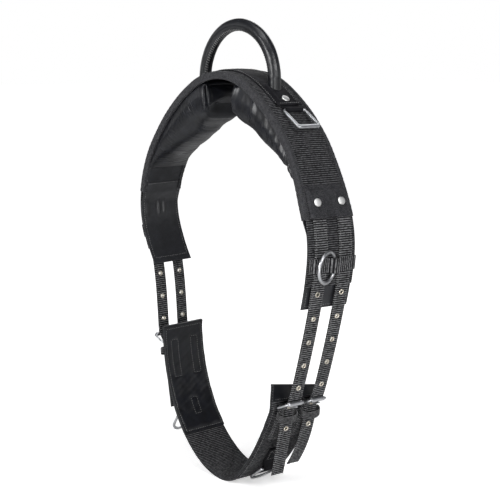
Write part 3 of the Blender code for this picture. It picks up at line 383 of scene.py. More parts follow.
# The photograph's view
VIEW_AZIMUTH = 50
VIEW_ELEVATION = 9
VIEW_DISTANCE = 2.2
VIEW_TARGET = (0.031, 0.0, -0.3094)
VIEW_LENS = 87.1


# Lines and places

def smoothstep(value):
    value = np.clip(value, 0.0, 1.0)
    return value * value * (3 - 2 * value)


def lengths_along(points):
    """How far along a line each of its points lies."""
    return np.concatenate([[0], np.cumsum(np.linalg.norm(np.diff(points, axis=0), axis=1))])


def unit(ways):
    return ways / np.maximum(np.linalg.norm(ways, axis=1), 1e-9)[:, None]


def rounded(share, least=0.04):
    """How much of its thickness a round edge has, at a share of the way in from its rim."""
    return np.sqrt(1 - (1 - np.clip(share, least, 1.0)) ** 2)


def uv_of(along, across):
    return np.stack(np.broadcast_arrays(along, across), -1)


def stitched_box(low, high, left, right, crossed=True):
    """The path of a box of stitches, with a diagonal if it is crossed."""
    path = [(low, left), (high, left), (high, right), (low, right), (low, left)]
    return path + [(high, right)] if crossed else path


def waves(u, v, seed, count=5):
    """Smooth unevenness between about -1 and 1, with features about one unit apart."""
    made = np.random.default_rng(seed)
    total = 0.0
    for _ in range(count):
        turn, phase = made.uniform(0, math.pi), made.uniform(0, 2 * math.pi)
        rate = made.uniform(3.5, 8.0)
        total = total + np.sin(rate * (u * math.cos(turn) + v * math.sin(turn)) + phase)
    return total / math.sqrt(count) / 1.2


def uneven(swell, along, across):
    """A surface's unevenness. swell is its height, its length and width, and its random draw."""
    height, length, width, draw = swell
    return height * waves(along / length, across / width, draw)


def bell(value, half):
    """1 at 0, falling smoothly to about a third at a half width to each side."""
    return np.exp(-((value / half) ** 2))


def steps(low, high, step):
    return np.linspace(low, high, max(2, math.ceil((high - low) / step) + 1))


def arc_points(start, heading, arcs):
    """Points along a chain of arcs, each a length and a turn in degrees."""
    x, z = start
    heading = math.radians(heading)
    points = [(x, z)]
    for length, turn in arcs:
        count = math.ceil(length / CURVE_STEP)
        for _ in range(count):
            heading += math.radians(turn) / count / 2
            x += math.cos(heading) * length / count
            z += math.sin(heading) * length / count
            heading += math.radians(turn) / count / 2
            points.append((x, z))
    return points


def bezier_points(start, start_way, end, end_way, reach, last_reach):
    start, end = np.array(start), np.array(end)
    first = start + np.array(start_way) * reach
    last = end - np.array(end_way) * last_reach
    count = math.ceil(np.linalg.norm(end - start) / CURVE_STEP)
    points = []
    for i in range(count + 1):
        t = i / count
        s = 1 - t
        points.append(s**3 * start + 3 * s * s * t * first + 3 * s * t * t * last + t**3 * end)
    return points


class Run:
    """A run of strap: the line that it follows in the loop's plane, and places on and off it."""

    def __init__(self, points, side=1, start=0.0, crown=0.0, skew=0.0):
        self.points = np.array([tuple(p) for p in points])
        self.side = side
        self.crown = crown
        self.skew = skew
        parts = np.diff(self.points, axis=0)
        self.lengths = start + np.concatenate([[0.0], np.cumsum(np.hypot(*parts.T))])
        ways = np.gradient(self.points, axis=0)
        self.headings = np.unwrap(np.arctan2(ways[:, 1], ways[:, 0]))
        self.length = self.lengths[-1]

    def half(self, name):
        """One side of a line whose middle is at 0, run from the middle out."""
        middle = int(np.searchsorted(self.lengths, -1e-6))
        if name == "right":
            return Run(self.points[middle:], crown=self.crown)
        return Run(self.points[middle::-1] * np.array([-1, 1]), side=-1, crown=self.crown)

    def mirrored(self):
        return Run(self.points[::-1] * np.array([-1, 1]), side=-1)

    def way(self, along):
        heading = np.interp(along, self.lengths, self.headings)
        return np.array([np.cos(heading), np.sin(heading)])

    def plane(self, along, out=0.0):
        """The place in the loop's plane, before it is put on its side."""
        beyond = along - np.clip(along, self.lengths[0], self.length)
        way_x, way_z = self.way(along)
        x = np.interp(along, self.lengths, self.points[:, 0])
        z = np.interp(along, self.lengths, self.points[:, 1])
        return np.array([x + way_x * beyond - way_z * out, z + way_z * beyond + way_x * out])

    def place(self, along, across, out):
        along, across, out = np.broadcast_arrays(*[np.asarray(v, float) for v in (along, across, out)])
        if self.crown:
            fade = 1 - smoothstep(np.abs(along) / CROWN_END * 2 - 1)
            out = out + self.crown * fade * (1 - (2 * across / BAND_WIDTH) ** 2)
        if self.skew:
            along = along + self.skew * across * (1 - smoothstep(along / GIRTH_SKEW_LENGTH))
        x, z = self.plane(along, out)
        taper = BARREL_TAPER * smoothstep((-z - TAPER_START) / (TAPER_FULL - TAPER_START))
        return np.stack([self.side * x * (1 + taper * across), across, z], axis=-1)

    def normal(self, along, across, out):
        lifted = self.place(along, across, np.asarray(out) + 1e-4) - self.place(along, across, out)
        return lifted / np.linalg.norm(lifted, axis=-1, keepdims=True)

    def frame(self, along, across=0.0, out=0.0):
        """A matrix with X down the run, Z out of its face, and its origin at the place."""
        near = 1e-4
        down = self.place(along + near, across, out) - self.place(along - near, across, out)
        aside = self.place(along, across + near, out) - self.place(along, across - near, out)
        down, aside = Vector(down), Vector(aside).normalized() * self.side
        outward = down.cross(aside).normalized()
        turned = Matrix((aside.cross(outward), aside, outward)).transposed().to_4x4()
        return Matrix.Translation(Vector(self.place(along, across, out))) @ turned


# Meshes

def make_object(name, data, finish, body="loop", node=None):
    """Links a piece, shades it, gives it its material and lets it ride on its body."""
    data.name = name
    data.shade_smooth()
    data.set_sharp_from_angle(angle=math.radians(48))
    data.materials.append(finish)
    piece = bpy.data.objects.new(name, data)
    bpy.context.collection.objects.link(piece)
    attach(piece, body)
    if node:
        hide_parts(node)
    return piece


def dress(node, suffix, data, finish):
    """A piece of the loop that takes the place of one node."""
    return make_object(f"{node}_{suffix}", data, finish, node=node)


def polish(node, data, looks):
    """A metal piece that takes the place of a moving node."""
    make_object(node + "_polished", data, looks["chrome"], body=node, node=node)


def grid_data(points, uv, ring=True, caps=True, loop=False):
    """A mesh over rows of points. ring joins a row's last point to its first, loop the last row
    to the first, and caps close both ends. uv has one value for each point."""
    rows, columns = points.shape[:2]
    last_row = rows if loop else rows - 1
    last_column = columns if ring else columns - 1
    i, j = np.meshgrid(np.arange(last_row), np.arange(last_column), indexing="ij")
    i2, j2 = (i + 1) % rows, (j + 1) % columns
    quads = np.stack([i * columns + j, i * columns + j2, i2 * columns + j2, i2 * columns + j], -1)
    quads = quads.reshape(-1, 4)
    verts = points.reshape(-1, 3)
    faces = quads.tolist()
    if caps and not loop:
        faces += [list(range(columns))[::-1], list(range((rows - 1) * columns, rows * columns))]
    corners = verts[quads]
    volume = np.einsum("ij,ij->i", corners[:, 0], np.cross(corners[:, 1], corners[:, 2])).sum()
    volume += np.einsum("ij,ij->i", corners[:, 0], np.cross(corners[:, 2], corners[:, 3])).sum()
    if volume < 0:
        faces = [face[::-1] for face in faces]
    data = bpy.data.meshes.new("grid")
    data.from_pydata(verts.tolist(), [], faces)
    layer = data.uv_layers.new(name="UVMap")
    index = np.empty(len(data.loops), np.int32)
    data.loops.foreach_get("vertex_index", index)
    layer.data.foreach_set("uv", uv.reshape(-1, 2)[index].astype(np.float32).ravel())
    return data


def join_data(parts):
    """One mesh from several lists of (vertices, faces)."""
    verts, faces = [], []
    for part_verts, part_faces in parts:
        start = len(verts)
        verts += [tuple(v) for v in part_verts]
        faces += [[start + i for i in face] for face in part_faces]
    data = bpy.data.meshes.new("parts")
    data.from_pydata(verts, [], faces)
    return data


def change_mesh(data, change):
    """Applies a change to a mesh, then turns all its faces outward."""
    mesh = bmesh.new()
    mesh.from_mesh(data)
    change(mesh)
    bmesh.ops.recalc_face_normals(mesh, faces=mesh.faces)
    mesh.to_mesh(data)
    mesh.free()


def flat_section(low, high, thickness, columns, under=3):
    """Round a flat strap with rounded edges: places across it, and shares of its thickness."""
    half = thickness / 2
    angles = np.radians([60, 25, -25, -60])
    across = list(np.linspace(low + half * 0.7, high - half * 0.7, columns))
    share = [1.0] * columns
    across += list(high - half * (1 - np.cos(angles)))
    share += list(0.5 + 0.5 * np.sin(angles))
    across += list(np.linspace(high - half * 0.7, low + half * 0.7, under))
    share += [0.0] * under
    across += list(low + half * (1 - np.cos(angles)))
    share += list(0.5 - 0.5 * np.sin(angles))
    return np.array(across), np.array(share)


def value_at(source, along, across):
    return source(along, across) if callable(source) else source


def strap_data(run, alongs, section, bottom, top, ribs=None, end_round=0.0):
    """A layer that follows a run between two heights off its face, with rounded edges. ribs is
    (spacing, height)."""
    across, share = section
    along = alongs[:, None]
    across = np.broadcast_to(across[None, :], (len(alongs), len(across)))
    share = np.broadcast_to(share[None, :], across.shape)
    low, high = value_at(bottom, along, across), value_at(top, along, across)
    out = low + (high - low) * share
    if end_round:
        near = np.minimum(along - alongs[0], alongs[-1] - along) / end_round
        out = (low + high) / 2 + (out - (low + high) / 2) * rounded(near)
    if ribs:
        spacing, height = ribs
        phase = (along + uneven(RIB_DRIFT, along, across)) / spacing
        out = out + (share - 0.5) * 2 * height * (0.5 + 0.5 * np.sin(2 * math.pi * phase) - 1)
    return grid_data(run.place(along, across, out), uv_of(along, across))


def cut_strap(run, low, high, step, section, bottom, top, ribs=None, end_round=0.0012):
    """A strap_data layer from low to high with rounded ends."""
    alongs = end_steps(low, high, step, end_round)
    return strap_data(run, alongs, section, bottom, top, ribs, end_round)


def end_steps(low, high, step, end_round):
    """Rows from low to high, with close ones where the ends are rounded."""
    near = np.array([0.0, 0.08, 0.3, 0.6]) * end_round
    rows = steps(low + end_round, high - end_round, step)
    return np.concatenate([low + near, rows, high - near[::-1]])


def plies_data(run, profile, low, high, edge, straight=False):
    """A folded layer: an outline of (along, out) places, carried across the run, with its rims
    taken off. A straight one keeps the form that it has in the middle of the run."""
    profile = np.array(profile)
    x, z = profile.T
    ways = unit(np.roll(profile, -1, axis=0) - np.roll(profile, 1, axis=0))
    area = np.sum(x * np.roll(z, -1) - z * np.roll(x, -1))
    inward = np.stack([-ways[:, 1], ways[:, 0]], -1) * (1 if area > 0 else -1)
    lengths = lengths_along(profile)
    rows, uv = [], []
    acrosses = [low, low + edge * 0.4, low + edge] + list(steps(low + edge, high - edge, 0.004)[1:-1])
    acrosses += [high - edge, high - edge * 0.4, high]
    for across in acrosses:
        near = min(across - low, high - across)
        inset = edge * 0.9 * max(0.0, 1 - near / edge) ** 2
        kept = profile + inward * inset
        if straight:
            rows.append(run.place(kept[:, 0], 0.0, kept[:, 1]) + np.array([0, across, 0]))
        else:
            rows.append(run.place(kept[:, 0], across, kept[:, 1]))
        uv.append(uv_of(lengths, across))
    return grid_data(np.array(rows), np.array(uv))


def folded_profile(bar_along, bar_out, bar_radius, ply, tail, way=1):
    """The outline of a strap folded round a bar, with both plies lying on the face beside it."""
    inside = bar_radius + GAP
    outside = inside + ply
    turn = np.radians(np.linspace(120, -90, 15))
    shoulder = bar_along - way * (1.1 * outside + 0.7 * bar_out)
    flat = np.linspace(bar_along - way * tail, shoulder, 12)

    def ply_face(height):
        return [(along, height) for along in flat]

    def round_bar(radius):
        return [
            (bar_along + way * radius * math.cos(a), bar_out + radius * math.sin(a)) for a in turn
        ]

    outer = ply_face(GAP + 2 * ply + GAP) + round_bar(outside) + ply_face(GAP)[::-1]
    inner = ply_face(GAP + ply) + round_bar(inside)[::-1] + ply_face(GAP + ply + GAP)[::-1]
    return outer + inner


def bar_height(bar_radius, below):
    return GAP + below + GAP + bar_radius


def transformed(data, matrix):
    data.transform(matrix)
    return data


def ring_data(outline, section, matrix):
    """A closed ring in the XY plane: (point, outward way) round it, and a section of
    (outward, upward) points for each."""
    rows = []
    for index, ((x, y), (way_x, way_y)) in enumerate(outline):
        rows.append([(x + way_x * a, y + way_y * a, b) for a, b in section(index)])
    points = np.array(rows)
    return transformed(grid_data(points, points[..., :2], loop=True), matrix)


def outline_arc(x, y, radius, start, sweep, count):
    """An arc of an outline, as (point, outward way) from a start angle over a sweep in degrees."""
    made = []
    for i in range(count + 1):
        angle = math.radians(start + sweep * i / count)
        way = (math.cos(angle), math.sin(angle))
        made.append(((x + way[0] * radius, y + way[1] * radius), way))
    return made


def circle(radius, sides):
    angles = np.linspace(0, 2 * math.pi, sides, endpoint=False)
    return [(radius * math.cos(a), radius * math.sin(a)) for a in angles]


def rounded_box(half_width, half_height, corner, sides=4):
    """A section with rounded corners, counter-clockwise from its right-hand upper corner."""
    made = []
    for turn, x, y in ((0, 1, 1), (90, -1, 1), (180, -1, -1), (270, 1, -1)):
        for i in range(sides + 1):
            angle = math.radians(turn + 90 * i / sides)
            made.append((
                x * (half_width - corner) + corner * math.cos(angle),
                y * (half_height - corner) + corner * math.sin(angle),
            ))
    return made


def rounded_rectangle(length, width, corner, count=6, straight=6):
    """Outline of a rectangle from x 0 to length: rounded corners joined by straight runs."""
    corners = (
        (length - corner, width / 2 - corner, 0),
        (corner, width / 2 - corner, 90),
        (corner, corner - width / 2, 180),
        (length - corner, corner - width / 2, 270),
    )
    outline = []
    for index, (x, y, turn) in enumerate(corners):
        outline += outline_arc(x, y, corner, turn, 90, count)
        (last_x, last_y), way = outline[-1]
        next_x, next_y, _ = corners[(index + 1) % 4]
        next_x, next_y = next_x + way[0] * corner, next_y + way[1] * corner
        for i in range(1, straight):
            share = i / straight
            point = (last_x + (next_x - last_x) * share, last_y + (next_y - last_y) * share)
            outline.append((point, way))
    return outline


def tube_points(line, radii, sides):
    """Rings round a line of (x, z) points in the XZ plane. An angle of 0 is on its left."""
    line = np.array(line)
    ways = unit(np.gradient(line, axis=0))
    angles = np.linspace(0, 2 * math.pi, sides, endpoint=False)
    radii = np.broadcast_to(radii, (len(line), sides))
    a, b = np.cos(angles) * radii, np.sin(angles) * radii
    x = line[:, :1] - ways[:, 1:] * a
    z = line[:, 1:] + ways[:, :1] * a
    return np.stack([x, b, z], -1)


def bead(start, end, normal, radius):
    """A stitch: a short thread that rises from the surface and sinks back in."""
    start, end, normal = (np.asarray(v, float) for v in (start, end, normal))
    way = end - start
    aside = np.cross(way, normal)
    aside /= np.linalg.norm(aside)
    sunk = normal * radius * 0.6
    verts, faces = [start - sunk], []
    for share, rise, size in STITCH_RINGS:
        middle = start + way * share + normal * radius * rise
        for x, y in circle(1.0, 6):
            verts.append(middle + (aside * x + normal * y) * radius * size)
    verts.append(end - sunk)
    for k in range(6):
        n = (k + 1) % 6
        faces.append([0, 1 + n, 1 + k])
        for row in (0, 1):
            first, second = 1 + 6 * row, 7 + 6 * row
            faces.append([first + k, first + n, second + n, second + k])
        faces.append([19, 13 + k, 13 + n])
    return verts, faces


def seam(run, path, out, pitch=STITCH_PITCH, length=STITCH, radius=THREAD, inside=False):
    """Stitches along a path of (along, across) points, on a face at this height. inside is for
    the face towards the horse."""
    path = np.array(path, float)
    lengths = lengths_along(path)
    count = max(1, int(lengths[-1] / pitch))
    offset = (lengths[-1] - (count - 1) * pitch - length) / 2
    made = []
    for i in range(count):
        ends = offset + i * pitch + np.array([0.0, length])
        along = np.interp(ends, lengths, path[:, 0])
        across = np.interp(ends, lengths, path[:, 1])
        height = np.array([value_at(out, a, c) for a, c in zip(along, across)], float)
        places = run.place(along, across, height)
        normal = run.normal(along.mean(), across.mean(), height.mean())
        made.append(bead(places[0], places[1], -normal if inside else normal, radius))
    return made


def edge_path(low, high, across, step=0.01):
    """The path of a line of stitches down a strap's edge."""
    return [(along, across) for along in steps(low, high, step)]


def add_threads(name, parts, finish):
    make_object(name, join_data(parts), finish)


# Materials

def add_node(tree, kind, inputs=None, **settings):
    """A shader node. An input that is a socket is linked, and any other value is set."""
    made = tree.nodes.new("ShaderNode" + kind)
    for key, value in settings.items():
        setattr(made, key, value)
    for key, value in (inputs or {}).items():
        if isinstance(value, bpy.types.NodeSocket):
            tree.links.new(value, made.inputs[key])
        else:
            made.inputs[key].default_value = value
    return made


def calculate(tree, operation, first, second=0.0):
    return add_node(tree, "Math", {0: first, 1: second}, operation=operation).outputs[0]


def weighted(tree, first, share, second, other_share):
    """The sum of two values, each times its share."""
    shared = calculate(tree, "MULTIPLY", first, share)
    return calculate(tree, "ADD", shared, calculate(tree, "MULTIPLY", second, other_share))


def noise(tree, vector, scale, detail=3.0, roughness=0.55):
    inputs = {"Vector": vector, "Scale": scale, "Detail": detail, "Roughness": roughness}
    return add_node(tree, "TexNoise", inputs).outputs["Fac"]


def remap(tree, value, low, high, new_low, new_high):
    inputs = {"Value": value, "From Min": low, "From Max": high, "To Min": new_low, "To Max": new_high}
    return add_node(tree, "MapRange", inputs).outputs["Result"]


def mixed(tree, share, first, second):
    made = add_node(tree, "Mix", {0: share}, data_type="RGBA")
    made.inputs[6].default_value = (*first, 1)
    made.inputs[7].default_value = (*second, 1)
    return made.outputs[2]


def bumped(tree, height, depth, strength=1.0, under=None):
    inputs = {"Height": height, "Distance": depth, "Strength": strength}
    if under:
        inputs["Normal"] = under
    return add_node(tree, "Bump", inputs).outputs["Normal"]


def sine(tree, value, spacing):
    """A wave between 0 and 1 that repeats each spacing."""
    turned = calculate(tree, "MULTIPLY", value, 2 * math.pi / spacing)
    return remap(tree, calculate(tree, "SINE", turned), -1, 1, 0, 1)


SOCKETS = {
    "specular": "Specular IOR Level",
    "sheen": "Sheen Weight",
    "sheen_roughness": "Sheen Roughness",
}


def new_look(name, metallic=0.0, **inputs):
    """An empty finish: its material, node tree, shader, object coordinates and UV."""
    made = bpy.data.materials.new("look_" + name)
    made.use_nodes = True
    tree = made.node_tree
    shader = tree.nodes["Principled BSDF"]
    shader.inputs["Metallic"].default_value = metallic
    for key, value in inputs.items():
        shader.inputs[SOCKETS[key]].default_value = value
    places = add_node(tree, "TexCoord")
    return made, tree, shader, places.outputs["Object"], places.outputs["UV"]


def link_look(tree, shader, colour, roughness, normal):
    for socket, value in (("Base Color", colour), ("Roughness", roughness), ("Normal", normal)):
        tree.links.new(value, shader.inputs[socket])


def leather_look(name, dark, light, rough, grain=1100.0, crease=0.00022, creases=90.0, specular=0.36):
    """Hide with a fine pebbled grain, small creases and a satin finish rubbed brighter in places."""
    made, tree, shader, spot, _ = new_look(name, specular=specular)
    worn = noise(tree, spot, 38.0, 5.0, 0.6)
    fine = noise(tree, spot, 420.0, 3.0)
    cells = add_node(tree, "TexVoronoi", {"Vector": spot, "Scale": grain}, feature="F1")
    folds = noise(tree, spot, creases, 4.0, 0.6)
    shade = weighted(tree, worn, 0.7, fine, 0.3)
    colour = mixed(tree, remap(tree, shade, 0.36, 0.68, 0, 1), dark, light)
    normal = bumped(tree, folds, crease, 0.8)
    normal = bumped(tree, cells.outputs["Distance"], 0.00012, 0.6, normal)
    link_look(tree, shader, colour, remap(tree, shade, 0.3, 0.7, *rough), normal)
    return made


def woven_look(name, dark, light, spacing, thread=0.0009, twill=0.0):
    """Webbing: each rib of it crossed by fine threads, with lint and small faded places, and a painted
    highlight along each rib's crest.
    """
    made, tree, shader, spot, uv = new_look(name, specular=0.08, sheen=0.05, sheen_roughness=0.5)
    parts = add_node(tree, "SeparateXYZ", {"Vector": uv})
    along, across = parts.outputs["X"], parts.outputs["Y"]
    if twill:
        along = calculate(tree, "ADD", along, calculate(tree, "MULTIPLY", across, twill))
    threads = sine(tree, across, thread)
    lint = noise(tree, spot, 1500.0, 4.0, 0.7)
    faded = noise(tree, spot, 45.0, 4.0, 0.6)
    stretched = add_node(tree, "VectorMath", {0: uv, 1: (1.0, 0.35, 1.0)}, operation="MULTIPLY")
    flecks = noise(tree, stretched.outputs["Vector"], 480.0, 2.0)
    # Each rib's crest is painted towards the light colour: a painted highlight where the lamps catch
    # the rib tops.
    crest_highlight = calculate(tree, "POWER", sine(tree, along, spacing), 2.2)
    flecked_crest_highlight = calculate(tree, "MULTIPLY", crest_highlight, remap(tree, flecks, 0.35, 0.62, 0.25, 1.25))
    crossed = calculate(tree, "ADD", calculate(tree, "MULTIPLY", threads, 0.5), 0.6)
    shade = weighted(tree, calculate(tree, "MULTIPLY", flecked_crest_highlight, crossed), 0.75, lint, 0.15)
    shade = calculate(tree, "ADD", shade, calculate(tree, "MULTIPLY", faded, 0.15))
    # The light colour goes on the painted crest highlight, the lint and the faded places.
    colour = mixed(tree, remap(tree, shade, 0.16, 0.95, 0, 1), dark, light)
    normal = bumped(tree, lint, 0.00018, 0.6, bumped(tree, threads, 0.00012, 0.7))
    link_look(tree, shader, colour, remap(tree, shade, 0.3, 1.1, *WOVEN_ROUGHNESS), normal)
    return made


def metal_look(name, colour, rough, streak, depth=0.00003):
    """Plated metal with faint polishing marks and slightly duller places."""
    made, tree, shader, spot, _ = new_look(name, 1.0)
    marks = noise(tree, spot, streak, 4.0, 0.65)
    dull = noise(tree, spot, 28.0, 3.0)
    shade = weighted(tree, marks, 0.5, dull, 0.5)
    darker = tuple(value * 0.82 for value in colour)
    plated = mixed(tree, remap(tree, shade, 0.35, 0.62, 0, 1), darker, colour)
    roughness = remap(tree, shade, 0.35, 0.65, rough[1], rough[0])
    link_look(tree, shader, plated, roughness, bumped(tree, marks, depth, 0.5))
    return made


def fibre_look(name, dark, light, scale):
    """Twisted or felted fibre, for stitching thread, stuffing and rope."""
    made, tree, shader, spot, _ = new_look(name, specular=0.3)
    fibre = noise(tree, spot, scale, 4.0, 0.7)
    colour = mixed(tree, remap(tree, fibre, 0.35, 0.65, 0, 1), dark, light)
    roughness = remap(tree, fibre, 0.3, 0.7, 0.7, 0.92)
    link_look(tree, shader, colour, roughness, bumped(tree, fibre, 0.0002, 0.8))
    return made


def make_looks():
    """All the finishes, by name."""
    kinds = (
        (woven_look, WOVEN_LOOKS), (leather_look, LEATHER_LOOKS),
        (fibre_look, FIBRE_LOOKS), (metal_look, METAL_LOOKS),
    )
    return {name: make(name, *values) for make, table in kinds for name, values in table.items()}


# The band

def make_band(band, looks):
    """The band's layers: ribbed webbing on top, then the lining, the flaps and the binding."""
    half = WEBBING_HALF
    data = strap_data(
        band, steps(-WEBBING_END, WEBBING_END, BAND_RIB / 6),
        flat_section(-half, half, WEBBING_THICKNESS, 15),
        -WEBBING_THICKNESS, 0.0, (BAND_RIB, RIB_HEIGHT),
    )
    dress("top_webbing", "ribbed", data, looks["webbing"])
    data = strap_data(
        band, steps(-LINING_SEEN_END, LINING_SEEN_END, LINING_HATCH / 3),
        flat_section(-half, half, LINING_THICKNESS, 18, 60), lining_bottom, LINING_TOP,
    )
    dress("band_lining", "soft", data, looks["lining"])
    for name in SIDES:
        make_flap(band.half(name), name, looks)
    for name, row in ROWS.items():
        make_binding(band, name, row, looks)


def lining_bottom(along, across):
    """Soft leather, with slanted ridges beyond the pads."""
    hatched = smoothstep((np.abs(along) - LINING_HATCH_START) / 0.003)
    ribs = np.sin(2 * math.pi * (np.abs(along) + 0.7 * across) / LINING_HATCH)
    soft = uneven(LINING_SWELL, along, across) - LINING_SWELL[0]
    return LINING_TOP - LINING_THICKNESS - (soft - LINING_RIDGE * ribs * hatched)


def flap_top(along, _across):
    """Level with the lining, and rising to the webbing where the band's stuffing ends."""
    thinned = smoothstep((abs(along) - BINDING_END) / FLAP_THINNING)
    return LINING_TOP * (1 - thinned) + CORE_TOP * thinned


def flap_bottom(along, across):
    """A little rippled, with the ridges that the buckles below have pressed into it."""
    rippled = FLAP_RIPPLE * (waves(along / 0.016, across / 0.022, 8) - 1)
    ahead = (np.abs(along) - FLAP_RIDGE_AT) / FLAP_RIDGE_HALF
    bulged = 0.0
    for middle, wide, high in FLAP_RIDGES:
        beside = (across / WEBBING_HALF - middle) / wide
        bulged = bulged + high * np.exp(-(beside**2) - ahead**4)
    plain = np.maximum(flap_top(along, across) - FLAP_THICKNESS, -BAND_DEPTH)
    return plain - rippled - bulged


def make_flap(run, name, looks):
    """The leather flap under one side's billets, with stitches on both its faces."""
    far = sum(BAND_SPANS[name])
    section = flat_section(-WEBBING_HALF, WEBBING_HALF, FLAP_THICKNESS, 20, 60)
    data = cut_strap(run, FLAP_SEEN_FROM, far, 0.002, section, flap_bottom, flap_top)
    # Its leather look is painted lighter than the pads': painted sheen.
    dress("flap_leather_" + name, "sewn", data, looks["flap"])

    def inner(along, across):
        return flap_bottom(along, across) - THREAD_LIFT

    def outer(along, across):
        return flap_top(along, across) + THREAD_LIFT

    rim = WEBBING_HALF - FLAP_STITCH_INSET
    start, end = FLAP_SEEN_FROM + FLAP_STITCH_INSET / 2, far - 2 * FLAP_STITCH_INSET
    threads = []
    for path in (
        [(start, -rim), (end, -rim)], [(start, rim), (end, rim)],
        [(end, -rim), (end, rim)], [(start, -rim), (start, rim)],
    ):
        threads += seam(run, path, inner, inside=True)
    start, end = WEBBING_END + 0.008, far - FLAP_STITCH_INSET
    threads += seam(run, [(start, -rim), (end, -rim), (end, rim), (start, rim)], outer)
    add_threads(f"flap_stitches_{name}", threads, looks["thread"])


def ribbon_outline(line, half, rounds=3):
    """An outline all round a line, half a thickness off it, with round ends."""
    line = np.array(line)
    ways = unit(np.gradient(line, axis=0))
    aside = np.stack([-ways[:, 1], ways[:, 0]], -1)
    made = list(line + aside * half)
    for index, start in ((-1, 90), (0, -90)):
        for i in range(1, rounds):
            angle = math.radians(start - 180 * i / rounds)
            way = ways[index] * math.cos(angle) + aside[index] * math.sin(angle)
            made.append(line[index] + half * way)
        if index == -1:
            made += list((line - aside * half)[::-1])
    return np.array(made)


def binding_line(edge, leg, high, low):
    """The middle of the folded tape, as (across, out): down one leg, round and up the other."""
    bend = BINDING_BEND
    line = [(x, high) for x in np.linspace(leg, edge - bend, 4)[:-1]]
    line += arc_2d(edge - bend, high - bend, bend, 90, 0)
    line += [(edge, y) for y in np.linspace(high - bend, low + bend, 4)[1:-1]]
    line += arc_2d(edge - bend, low + bend, bend, 0, -90)
    return line + [(x, low) for x in np.linspace(edge - bend, leg, 4)[1:]]


def arc_2d(x, y, radius, start, end, count=5):
    angles = np.radians(np.linspace(start, end, count))
    return [(x + radius * math.cos(a), y + radius * math.sin(a)) for a in angles]


def make_binding(band, name, row, looks):
    """The tape folded over one edge of the band, with a line of stitches near its rim."""
    half = BINDING_THICKNESS / 2
    edge, leg = BAND_WIDTH / 2 - half, BAND_WIDTH / 2 - BINDING_LEG + half
    high, low = GAP + half, -BAND_DEPTH - GAP - half
    outline = ribbon_outline(binding_line(edge, leg, high, low), half)
    middle, out = outline[None, :, 0], outline[None, :, 1]
    alongs = steps(-BINDING_END, BINDING_END, LAYER_STEP)[:, None]
    round_tape = middle - out
    crease = waves((alongs - 0.9 * round_tape) / 0.008, (alongs + round_tape) / 0.030, 4)
    raised = BINDING_CREASE * crease * (0.35 + 0.65 * smoothstep((np.abs(alongs) - 0.10) / 0.12))
    across = row * middle + 0.25 * row * raised * (middle > edge - BINDING_BEND)
    points = band.place(alongs, across, out + raised * np.sign(out + BAND_DEPTH / 2))
    data = grid_data(points, uv_of(alongs, lengths_along(outline)[None, :]))
    dress("binding_" + name, "taped", data, looks["binding"])
    end = BINDING_END - STITCHES_OFF_END
    path = edge_path(-end, end, row * (leg + 0.0016))
    threads = seam(band, path, high + half, *BINDING_STITCH)
    add_threads(f"binding_stitches_{name}", threads, looks["dark_thread"])


def pad_section(squareness, count=140):
    """Round a pad's section: places across as shares of its half width, and down as shares of its
    depth, from the middle of its top."""
    angles = np.linspace(0, 2 * math.pi, count, endpoint=False) + math.pi / 2
    cosine, sinus = np.cos(angles), np.sin(angles)
    power = np.where(sinus > 0, 2 / PAD_TOP_SQUARENESS, 2 / squareness)
    across = np.sign(cosine) * np.abs(cosine) ** power
    reach = np.abs(sinus) ** power
    down = np.where(sinus > 0, PAD_WIDEST * (1 - reach), PAD_WIDEST + (1 - PAD_WIDEST) * reach)
    return across, down


def pad_reach(down, squareness):
    """The half width of a pad's section at a share of its depth, as a share of its widest."""
    lower = np.clip((down - PAD_WIDEST) / (1 - PAD_WIDEST), 0, 1)
    return (1 - lower**squareness) ** (1 / squareness)


def pad_relief(name, along, across, down, depth):
    """The height of a pad's surface over its plain form: creases that leave the sewn edge along it
    and turn across the pad, and slow swells of the stuffing."""
    below = down * depth
    line = along - PAD_CREASE_TURN * (1 - np.exp(-below / PAD_CREASE_BEND))
    spacing, sharp, height, reach, draw = PAD_CREASES[name]
    crossing = waves(line / spacing, below / PAD_CREASE_LENGTH + 2 * np.sign(across), draw, 4)
    creases = height * (sharp * -bell(crossing, PAD_VALLEY_HALF) + (1 - sharp) * crossing)
    strength = 0.4 + 0.6 * smoothstep(0.5 + waves(along / 0.05, across, 72))
    near_edge = smoothstep(below / 0.006) * (1 - 0.94 * smoothstep((below - reach) / 0.020))
    start = smoothstep((along - PAD_START - 0.012) / 0.035)
    swell = uneven(PAD_SWELLS[name], along, across)
    cross = uneven(PAD_UNDERSIDE, along, across) * smoothstep((down - 0.7) / 0.2)
    return creases * strength * near_edge * start + (swell + cross) * smoothstep(down / 0.3)


def pad_rows():
    """A pad's rows: a size, an angle round the corner at the gullet, a share of the length, and how
    far over the rim at the thin end."""
    inner = (np.arange(PAD_END_ROWS) / PAD_END_ROWS) ** 0.8
    rows = [(size, 0.0, 0.0, 0.0) for size in 0.02 + 0.98 * inner]
    rows += [(1.0, angle, 0.0, 0.0) for angle in np.linspace(0, 90, PAD_CORNER_ROWS)]
    rows += [(1.0, 90.0, share, 0.0) for share in np.linspace(0, 1, PAD_SIDE_ROWS)[1:]]
    return rows + [(1.0, 90.0, 1.0, lift) for lift in (0.4, 0.75, 0.97)]


def sewn_corner(corner, across, down):
    """The gathered seam up a pad's corner: how far the leather stands out, by degrees from it."""
    seam_share = smoothstep((np.abs(across) - 0.72) / 0.12) * (1 - smoothstep((down - 0.70) / 0.12))
    groove = PAD_SEAM_DEPTH * bell(corner, PAD_GROOVE_HALF)
    puff = PAD_PUFF * bell(np.abs(corner) - PAD_PUFF_AT, PAD_PUFF_HALF)
    folds = np.cos(2 * math.pi * (down * PAD_FULL_DEPTH - PAD_FIRST_STITCH) / PAD_STITCH_PITCH)
    pucker = -PAD_PUCKER * folds * np.exp(-np.abs(corner) / PAD_PUCKER_REACH)
    return (puff + pucker - groove) * seam_share


